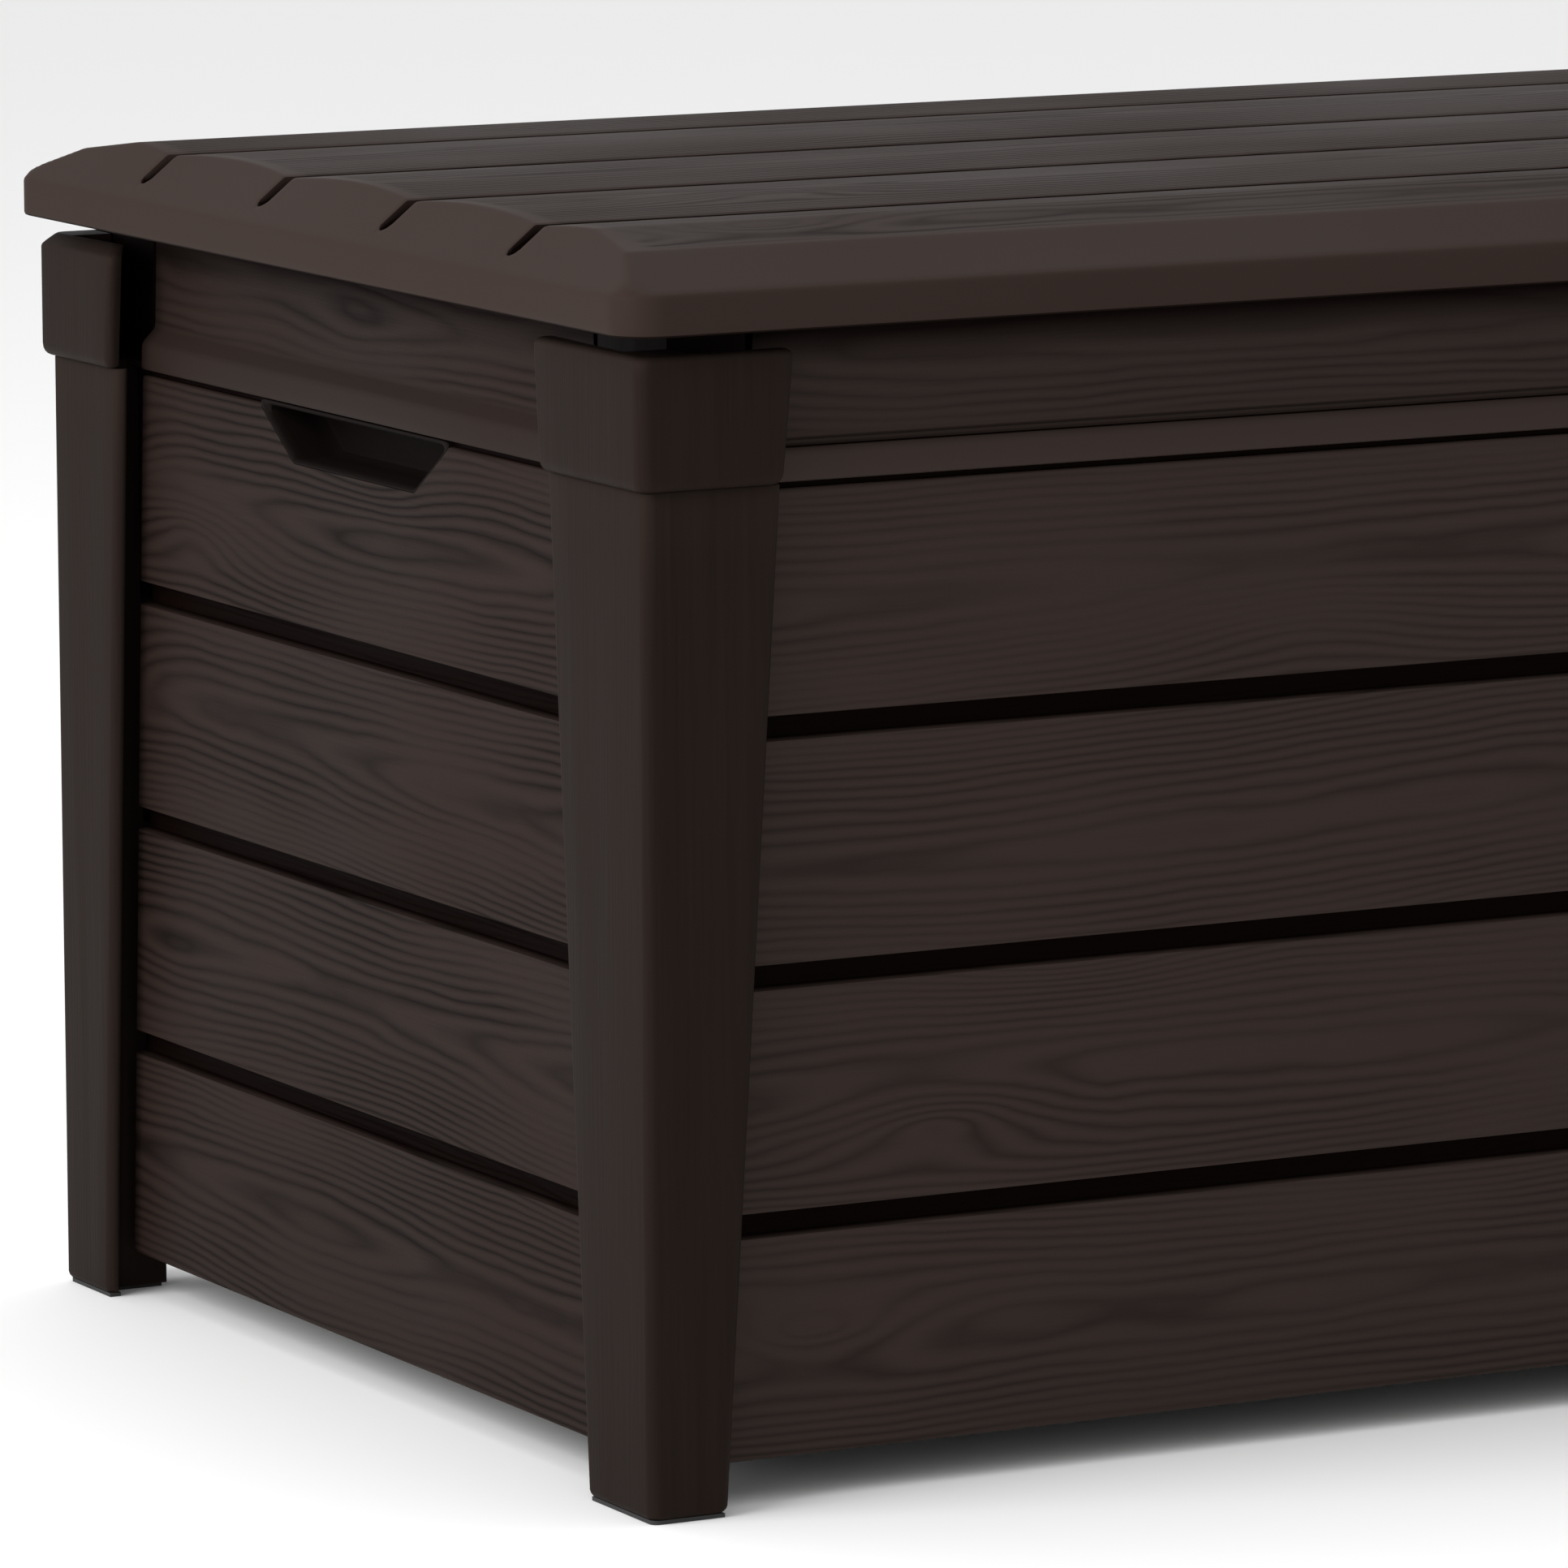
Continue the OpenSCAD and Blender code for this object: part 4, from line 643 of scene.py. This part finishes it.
# ------------------------------------------------------------------ materials
class Nodes:
    """Short way to write a node tree."""

    def __init__(self, name):
        self.mat = bpy.data.materials.new(name)
        self.mat.use_nodes = True
        self.tree = self.mat.node_tree
        self.tree.nodes.clear()
        self.out = self.add("ShaderNodeOutputMaterial")

    def add(self, kind, **props):
        node = self.tree.nodes.new(kind)
        for k, v in props.items():
            setattr(node, k, v)
        return node

    def put(self, value, socket):
        if hasattr(value, "is_output"):
            self.tree.links.new(value, socket)
        else:
            socket.default_value = value

    def math(self, op, a, b=0.0, c=0.0):
        m = self.add("ShaderNodeMath", operation=op)
        self.put(a, m.inputs[0])
        self.put(b, m.inputs[1])
        self.put(c, m.inputs[2])
        return m.outputs[0]

    def split(self, vector):
        """The X, Y and Z of a vector."""
        sep = self.add("ShaderNodeSeparateXYZ")
        self.put(vector, sep.inputs[0])
        return sep.outputs

    def mapped(self, vector, scale):
        m = self.add("ShaderNodeMapping")
        self.put(vector, m.inputs["Vector"])
        m.inputs["Scale"].default_value = scale
        return m.outputs[0]

    def noise(self, vector, scale, detail=3.0, rough=0.5, distortion=0.0):
        t = self.add("ShaderNodeTexNoise")
        self.put(vector, t.inputs["Vector"])
        t.inputs["Scale"].default_value = scale
        t.inputs["Detail"].default_value = detail
        t.inputs["Roughness"].default_value = rough
        t.inputs["Distortion"].default_value = distortion
        return t.outputs["Fac"]

    def ramp(self, fac, stops):
        r = self.add("ShaderNodeValToRGB")
        self.put(fac, r.inputs[0])
        els = r.color_ramp.elements
        while len(els) > len(stops):
            els.remove(els[-1])
        while len(els) < len(stops):
            els.new(1.0)
        for e, (pos, col) in zip(els, stops):
            e.position = pos
            e.color = (*col, 1.0)
        return r.outputs[0]

    def range(self, value, a, b, c, d):
        m = self.add("ShaderNodeMapRange")
        self.put(value, m.inputs[0])
        for k, v in enumerate((a, b, c, d)):
            m.inputs[k + 1].default_value = v
        return m.outputs[0]

    def blend(self, fac, a, b):
        m = self.add("ShaderNodeMix", data_type="RGBA")
        self.put(fac, m.inputs["Factor"])
        self.put(a, m.inputs[6])
        self.put(b, m.inputs[7])
        return m.outputs[2]

    def bump(self, height, strength, distance):
        b = self.add("ShaderNodeBump")
        self.put(height, b.inputs["Height"])
        b.inputs["Strength"].default_value = strength
        b.inputs["Distance"].default_value = distance
        return b.outputs[0]

    def shader(self, color, rough, normal=None, **fixed):
        s = self.add("ShaderNodeBsdfPrincipled")
        self.put(color, s.inputs["Base Color"])
        self.put(rough, s.inputs["Roughness"])
        if normal is not None:
            self.put(normal, s.inputs["Normal"])
        for k, v in fixed.items():
            self.put(v, s.inputs[k.replace("_", " ")])
        self.tree.links.new(s.outputs[0], self.out.inputs[0])
        return s


def wood_resin(name, along, across, first, pitch, dark, light, smooth, grain, mask, shading, spec, rough=0.6):
    """Moulded plain-sawn grain: lines close together at a plank's edges and long arches down its middle,
    with a knot here and there. Planks are counted from first on the across axis, pitch apart, and each
    has a grain of its own. mask gives a factor from the tree and its coordinates, 0 where it is smooth, and
    shading gives one that is 1 where shade is painted in. Lengths in it are in metres."""
    t = Nodes(name)
    pos = t.add("ShaderNodeTexCoord").outputs["Object"]
    x, y, z = t.split(pos)
    a, c = ({"X": x, "Y": y, "Z": z}[k] for k in (along, across))
    plank = t.math("FLOOR", t.math("DIVIDE", t.math("SUBTRACT", c, first), pitch))
    middle = t.math("MULTIPLY_ADD", t.math("ADD", plank, 0.5), pitch, first)
    v = t.math("SUBTRACT", c, middle)
    u = t.math("MULTIPLY_ADD", plank, 2.37, a)

    def field(su, sv, shift):
        """Place in the grain, stretched along and across the plank, with a share of noise of its own."""
        f = t.add("ShaderNodeCombineXYZ")
        t.put(t.math("MULTIPLY", u, su), f.inputs[0])
        t.put(t.math("MULTIPLY", v, sv), f.inputs[1])
        t.put(t.math("MULTIPLY_ADD", plank, 3.1, shift), f.inputs[2])
        return f.outputs[0]
    drift = t.noise(field(1.3, 0.0, 0.0), 1.0, 1.0, 0.4)
    slow = t.noise(field(1.9, 5.0, 11.0), 1.0, 1.5, 0.45)
    wave = t.noise(field(8.0, 34.0, 23.0), 1.0, 2.0, 0.5)
    tiny = t.noise(field(34.0, 90.0, 43.0), 1.0, 2.0, 0.5)
    vv = t.math("ADD", v, t.math("MULTIPLY", t.math("SUBTRACT", drift, 0.5), 0.06))
    knots = t.add("ShaderNodeTexVoronoi", feature="F1")
    t.put(field(2.9, 10.0, 0.0), knots.inputs["Vector"])
    knots.inputs["Scale"].default_value = 1.0
    knot = t.math("POWER", t.range(knots.outputs["Distance"], 0.0, 0.42, 1.0, 0.0), 2.0)
    reach = t.math("SQRT", t.math("MULTIPLY_ADD", vv, vv, 0.00012))
    phase = t.math("MULTIPLY_ADD", t.math("MULTIPLY", vv, vv), 7000.0, t.math("MULTIPLY", reach, 820.0))
    for wander, turns in ((slow, 58.0), (wave, 9.0), (tiny, 1.3), (knot, 34.0)):
        phase = t.math("ADD", phase, t.math("MULTIPLY", wander, turns))
    rings = t.math("MULTIPLY_ADD", t.math("SINE", phase), 0.5, 0.5)
    rings = t.math("POWER", rings, 0.55)
    fade = t.range(t.noise(field(4.0, 18.0, 31.0), 1.0, 2.0, 0.5), 0.34, 0.60, 0.20, 1.0)
    rings = t.math("MULTIPLY_ADD", t.math("SUBTRACT", rings, 1.0), fade, 1.0)
    fibre = t.noise(field(16.0, 900.0, 5.0), 1.0, 2.0, 0.6)
    speck = t.noise(pos, 900.0, 2.0, 0.6)
    patch = t.noise(pos, 3.2, 3.0, 0.55)
    where = mask(t, x, y, z)
    relief = t.math("MULTIPLY_ADD", rings, 0.85, t.math("MULTIPLY", fibre, 0.30))
    relief = t.math("MULTIPLY_ADD", t.math("SUBTRACT", relief, 1.0), where, 1.0)
    height = t.math("MULTIPLY_ADD", speck, 0.12, relief)
    tone = t.math("MULTIPLY_ADD", relief, 0.62, t.math("MULTIPLY", patch, 0.40))
    grainy = t.ramp(tone, [(0.30, dark), (0.84, light)])
    plain = t.ramp(patch, [(0.30, tuple(k * 0.92 for k in smooth)), (0.70, smooth)])
    color = t.blend(where, plain, grainy)
    # painted shade: the colour turns to the dark shade colours, and the specular dulls, where shading is 1
    shade = shading(t, x, y, z, t.math("SUBTRACT", pitch / 2, t.math("ABSOLUTE", v)))
    color = t.blend(shade, color, t.ramp(speck, [(0.3, PAINTED_SHADE_LOW), (0.7, PAINTED_SHADE_HIGH)]))
    spec = t.range(shade, 0.0, 1.0, spec, 0.01)
    gloss = t.math("ADD", t.range(patch, 0.35, 0.65, rough - 0.05, rough + 0.05),
                   t.range(relief, 0.0, 1.0, 0.05, -0.05))
    normal = t.bump(height, grain, 0.0006)
    t.shader(color, gloss, normal, Specular_IOR_Level=spec, Specular_Tint=SHEEN)
    return t.mat


def wall_mask(t, x, y, z):
    """Smooth on the moulding under the band."""
    low = t.range(z, (Z_STRIP - 2.0) * MM, (Z_STRIP - 0.5) * MM, 1.0, 0.0)
    return t.math("MAXIMUM", low, t.range(z, (Z_BAND - 0.5) * MM, (Z_BAND + 2.0) * MM, 0.0, 1.0))


def lid_mask(t, x, y, z):
    """Smooth on the skirt and the bevels."""
    ends = t.range(t.math("ABSOLUTE", x), (HX - 40.0) * MM, (HX - 34.0) * MM, 1.0, 0.0)
    sides = t.range(t.math("ABSOLUTE", y), (HY - 50.0) * MM, (HY - 45.0) * MM, 1.0, 0.0)
    return t.math("MINIMUM", ends, sides)


def wall_painted_shade(t, x, y, z, off):
    """Painted shade: dark in the grooves, in lines at both edges of the moulding and in a band close under
    the lid.
    """
    half = WALL_GROOVE_W / 2
    # painted shade in the grooves between the planks
    groove = t.range(off, (half - 0.5) * MM, (half + 0.4) * MM, 1.0, 0.0)
    groove = t.math("MULTIPLY", groove, t.math("LESS_THAN", z, (Z_PLANKS - 20.0) * MM))
    groove = t.math("MULTIPLY", groove, t.math("GREATER_THAN", z, (Z_WALL + 20.0) * MM))
    # painted shadow lines under the moulding and, on the front, over its top lip
    under = t.math("COMPARE", z, (Z_PLANKS + Z_STRIP) / 2 * MM, (Z_STRIP - Z_PLANKS) / 2 * MM)
    front = t.math("LESS_THAN", y, (BAND - 2.0 - HY) * MM)
    over = t.math("MULTIPLY", t.math("COMPARE", z, (Z_STRIP + STRIP_H + 3.4) * MM, 1.4 * MM), front)
    lines = t.math("MAXIMUM", groove, t.math("MAXIMUM", under, over))
    # painted shade under the lid's overhang, darkest just below the skirt
    return t.math("MAXIMUM", lines, t.range(z, (Z_LID - 22.1) * MM, (Z_LID - 6.1) * MM, 0.0, 0.9))


def lid_painted_shade(t, x, y, z, off):
    """Painted shade in the grooves, out to their round ends on the bevels, and along the skirt's lower edge.
    """
    past = t.math("MAXIMUM", t.math("SUBTRACT", t.math("ABSOLUTE", x), (HX - GROOVE_END) * MM), 0.0)
    r = t.math("SQRT", t.math("ADD", t.math("MULTIPLY", past, past), t.math("MULTIPLY", off, off)))
    half = LID_GROOVE_W / 2
    inside = t.range(r, (half - 0.1) * MM, (half + 0.5) * MM, 1.0, 0.0)
    inside = t.math("MULTIPLY", inside, t.math("LESS_THAN", t.math("ABSOLUTE", y), 2.0 * LID_PITCH * MM))
    # painted shade along the skirt's lower edge
    under = t.math("MULTIPLY", t.math("LESS_THAN", z, (Z_LID + 1.0) * MM), 0.8)
    return t.math("MAXIMUM", inside, under)


def brushed_resin(name, dark, light, rough, painted_shade_from=None):
    """Fine upright brushing of the posts and caps, a little lighter on sharp edges, and painted dark shade
    above the given height, where the posts stand inside the caps.
    """
    t = Nodes(name)
    pos = t.add("ShaderNodeTexCoord").outputs["Object"]
    streak = t.noise(t.mapped(pos, (620.0, 620.0, 9.0)), 1.0, 3.0, 0.6)
    broad = t.noise(t.mapped(pos, (60.0, 60.0, 3.0)), 1.0, 3.0, 0.55, 0.4)
    speck = t.noise(pos, 1100.0, 2.0, 0.6)
    edge = t.add("ShaderNodeNewGeometry").outputs["Pointiness"]
    # a little lighter on sharp edges
    lighter_edges = t.range(edge, 0.515, 0.56, 0.0, 0.35)
    tone = t.math("MULTIPLY_ADD", streak, 0.40, t.math("MULTIPLY_ADD", broad, 0.40, lighter_edges))
    color = t.ramp(tone, [(0.25, dark), (0.85, light)])
    if painted_shade_from:
        # painted shade: the post goes dark above this height, inside the caps and necks
        above = t.range(t.split(pos)[2], painted_shade_from, painted_shade_from + MM, 0.0, 1.0)
        color = t.blend(above, color, PAINTED_SHADE_LOW + (1.0,))
    gloss = t.range(broad, 0.3, 0.7, rough - 0.05, rough + 0.06)
    height = t.math("MULTIPLY_ADD", speck, 0.15, t.math("MULTIPLY", broad, 0.3))
    height = t.math("MULTIPLY_ADD", streak, 0.8, height)
    t.shader(color, gloss, t.bump(height, 0.42, 0.0004), Specular_IOR_Level=0.035, Specular_Tint=SHEEN)
    return t.mat


def grained(name, color, rough, scale, strength, metallic=0.0, rough_by=0.06, **fixed):
    """Plain moulded, cast or painted surface with fine grain and soft patches."""
    t = Nodes(name)
    pos = t.add("ShaderNodeTexCoord").outputs["Object"]
    fine = t.noise(pos, scale, 3.0, 0.6)
    patch = t.noise(pos, 14.0, 3.0, 0.55)
    tone = t.math("MULTIPLY_ADD", fine, 0.5, t.math("MULTIPLY", patch, 0.5))
    lo = tuple(c * 0.78 for c in color)
    hi = tuple(min(1.0, c * 1.18) for c in color)
    color_out = t.ramp(tone, [(0.3, lo), (0.7, hi)])
    gloss = t.range(patch, 0.3, 0.7, rough - rough_by, rough + rough_by)
    t.shader(color_out, gloss, t.bump(fine, strength, 0.0004), Metallic=metallic, **fixed)
    return t.mat


# Colours between which each grain runs, and of the shade painted in gaps; SHEEN tints what the resin reflects
DARK, LIGHT = (0.0122, 0.0080, 0.0067), (0.0238, 0.0160, 0.0134)
LID_DARK, LID_LIGHT = (0.0100, 0.0066, 0.0056), (0.0230, 0.0158, 0.0136)
# END_DARK and END_LIGHT are a darker copy of DARK and LIGHT: the long walls are painted lighter, as painted
# light from above caught on their planks
END_DARK, END_LIGHT = (0.0044, 0.0027, 0.0023), (0.0170, 0.0109, 0.0090)
POST_DARK, POST_LIGHT = (0.0096, 0.0062, 0.0050), (0.0172, 0.0115, 0.0094)
PAINTED_SHADE_LOW, PAINTED_SHADE_HIGH = (0.0022, 0.0010, 0.0008), (0.0034, 0.0016, 0.0013)
PLANK_PITCH = (PLANK_H + WALL_GROOVE_W) * MM
FIRST = (Z_WALL - WALL_GROOVE_W / 2) * MM
SHEEN = (1.0, 0.82, 0.75, 1.0)
mats = {
    "lid": wood_resin("resin_lid_grain", "X", "Y", -2.5 * LID_PITCH * MM, LID_PITCH * MM, LID_DARK, LID_LIGHT,
                      (0.0270, 0.0180, 0.0151), 0.5, lid_mask, lid_painted_shade, 0.03),
    # the long walls' grain and smooth colours are painted lighter than the end walls' as painted light from
    # above
    "long": wood_resin("resin_long_wall_grain_painted_light", "X", "Z", FIRST, PLANK_PITCH, DARK, LIGHT,
                       (0.0270, 0.0184, 0.0155), 0.6, wall_mask, wall_painted_shade, 0.11),
    "end": wood_resin("resin_end_wall_grain", "Y", "Z", FIRST, PLANK_PITCH, END_DARK, END_LIGHT,
                      (0.0160, 0.0104, 0.0086), 0.9, wall_mask, wall_painted_shade, 0.04),
    "post": brushed_resin("resin_post_brushed_painted_shade", POST_DARK, POST_LIGHT, 0.56, Z_CAP * MM),
    "cap": brushed_resin("resin_cap_brushed", POST_DARK, POST_LIGHT, 0.56),
    # the finger-pull cups are coloured near-black as painted shade in their recess
    "cup": grained("resin_cup_painted_shade", (0.0042, 0.0026, 0.0021), 0.7, 700.0, 0.25, Specular_IOR_Level=0.04),
    "inner_resin": grained("resin_inside_texture", (0.020, 0.0165, 0.0155), 0.6, 500.0, 0.35),
    "rubber": grained("rubber_black", (0.012, 0.012, 0.012), 0.75, 600.0, 0.4),
    "zinc_steel": grained("steel_zinc_plated", (0.52, 0.53, 0.55), 0.36, 260.0, 0.12, 1.0, 0.07),
    "screw_steel": grained("steel_screws", (0.46, 0.47, 0.49), 0.33, 400.0, 0.10, 1.0, 0.07),
    "black_steel": grained("steel_black_satin", (0.018, 0.018, 0.019), 0.42, 800.0, 0.14, 0.0, 0.05,
                           Specular_IOR_Level=0.5),
    "plated_steel": grained("steel_plated_bright", (0.62, 0.63, 0.66), 0.16, 300.0, 0.04, 1.0, 0.03),
}


def dress(ob, mat):
    """Gives a piece its only material."""
    ob.data.materials.clear()
    ob.data.materials.append(mat)


dress(lid, mats["lid"])
for side, ob in walls.items():
    dress(ob, mats["long" if side in ("front", "back") else "end"])
for ob in posts:
    dress(ob, mats["post"])
for ob in caps:
    dress(ob, mats["cap"])
for ob in cups:
    dress(ob, mats["cup"])

slot_of = {s["node"]: s["material_slot"] for s in frame["record"]["subparts"]}
for node, ob in frame["nodes"].items():
    mat = mats.get(slot_of[node], mats["cup"])
    for s in ob.material_slots:
        s.material = mat
    if not ob.material_slots:
        ob.data.materials.append(mat)


# ------------------------------------------------------------------ floor, light, camera
def studio_floor():
    """A wide pale floor."""
    size = 30.0
    me = bpy.data.meshes.new("studio_floor")
    corners = [(-size, -size, 0), (size, -size, 0), (size, size, 0), (-size, size, 0)]
    me.from_pydata(corners, [], [(0, 1, 2, 3)])
    ob = bpy.data.objects.new("studio_floor", me)
    bpy.context.scene.collection.objects.link(ob)
    t = Nodes("studio_floor_pale")
    t.shader((0.86, 0.86, 0.86, 1.0), 0.9, None, Specular_IOR_Level=0.1)
    me.materials.append(t.mat)


def area_light(name, place, target, size, power):
    """A white rectangular light turned to a target."""
    data = bpy.data.lights.new(name, "AREA")
    data.shape = "RECTANGLE"
    data.size, data.size_y = size
    data.energy = power
    ob = bpy.data.objects.new(name, data)
    ob.location = place
    ob.rotation_euler = (Vector(target) - Vector(place)).to_track_quat("-Z", "Y").to_euler()
    bpy.context.scene.collection.objects.link(ob)


studio_floor()
WORLD_STRENGTH = 0.94
world = bpy.data.worlds.new("studio")
world.use_nodes = True
background = world.node_tree.nodes["Background"]
background.inputs["Color"].default_value = (1.0, 1.0, 1.0, 1.0)
background.inputs["Strength"].default_value = WORLD_STRENGTH
bpy.context.scene.world = world
bpy.context.scene.view_settings.view_transform = "Standard"

area_light("key_left", (-4.2, -0.6, 2.2), (0, 0, 0.4), (3.0, 3.0), 172.0)
area_light("top_soft", (0.4, 0.6, 4.2), (0, 0, 0.5), (4.0, 3.0), 40.0)

# The camera's place in metres, its angles in radians, yaw from +Y towards +X and pitch downwards
CAM_PLACE = (-2.91377, -4.64370, 1.09114)
CAM_YAW, CAM_PITCH, CAM_ROLL = 0.485966, 0.1515947, -0.0045195
CAM_LENS = 243.18
cam_data = bpy.data.cameras.new("camera")
cam_data.sensor_width = 36.0
cam_data.lens = CAM_LENS
cam_data.clip_end = 200.0
cam = bpy.data.objects.new("camera", cam_data)
level = math.cos(CAM_PITCH)
fwd = Vector((math.sin(CAM_YAW) * level, math.cos(CAM_YAW) * level, -math.sin(CAM_PITCH)))
right = Vector((math.cos(CAM_YAW), -math.sin(CAM_YAW), 0.0))
up = right.cross(fwd)
r2 = math.cos(CAM_ROLL) * right + math.sin(CAM_ROLL) * up
u2 = -math.sin(CAM_ROLL) * right + math.cos(CAM_ROLL) * up
rot = Matrix((r2, u2, -fwd)).transposed()
cam.matrix_world = Matrix.Translation(Vector(CAM_PLACE)) @ rot.to_4x4()
bpy.context.scene.collection.objects.link(cam)
bpy.context.scene.camera = cam
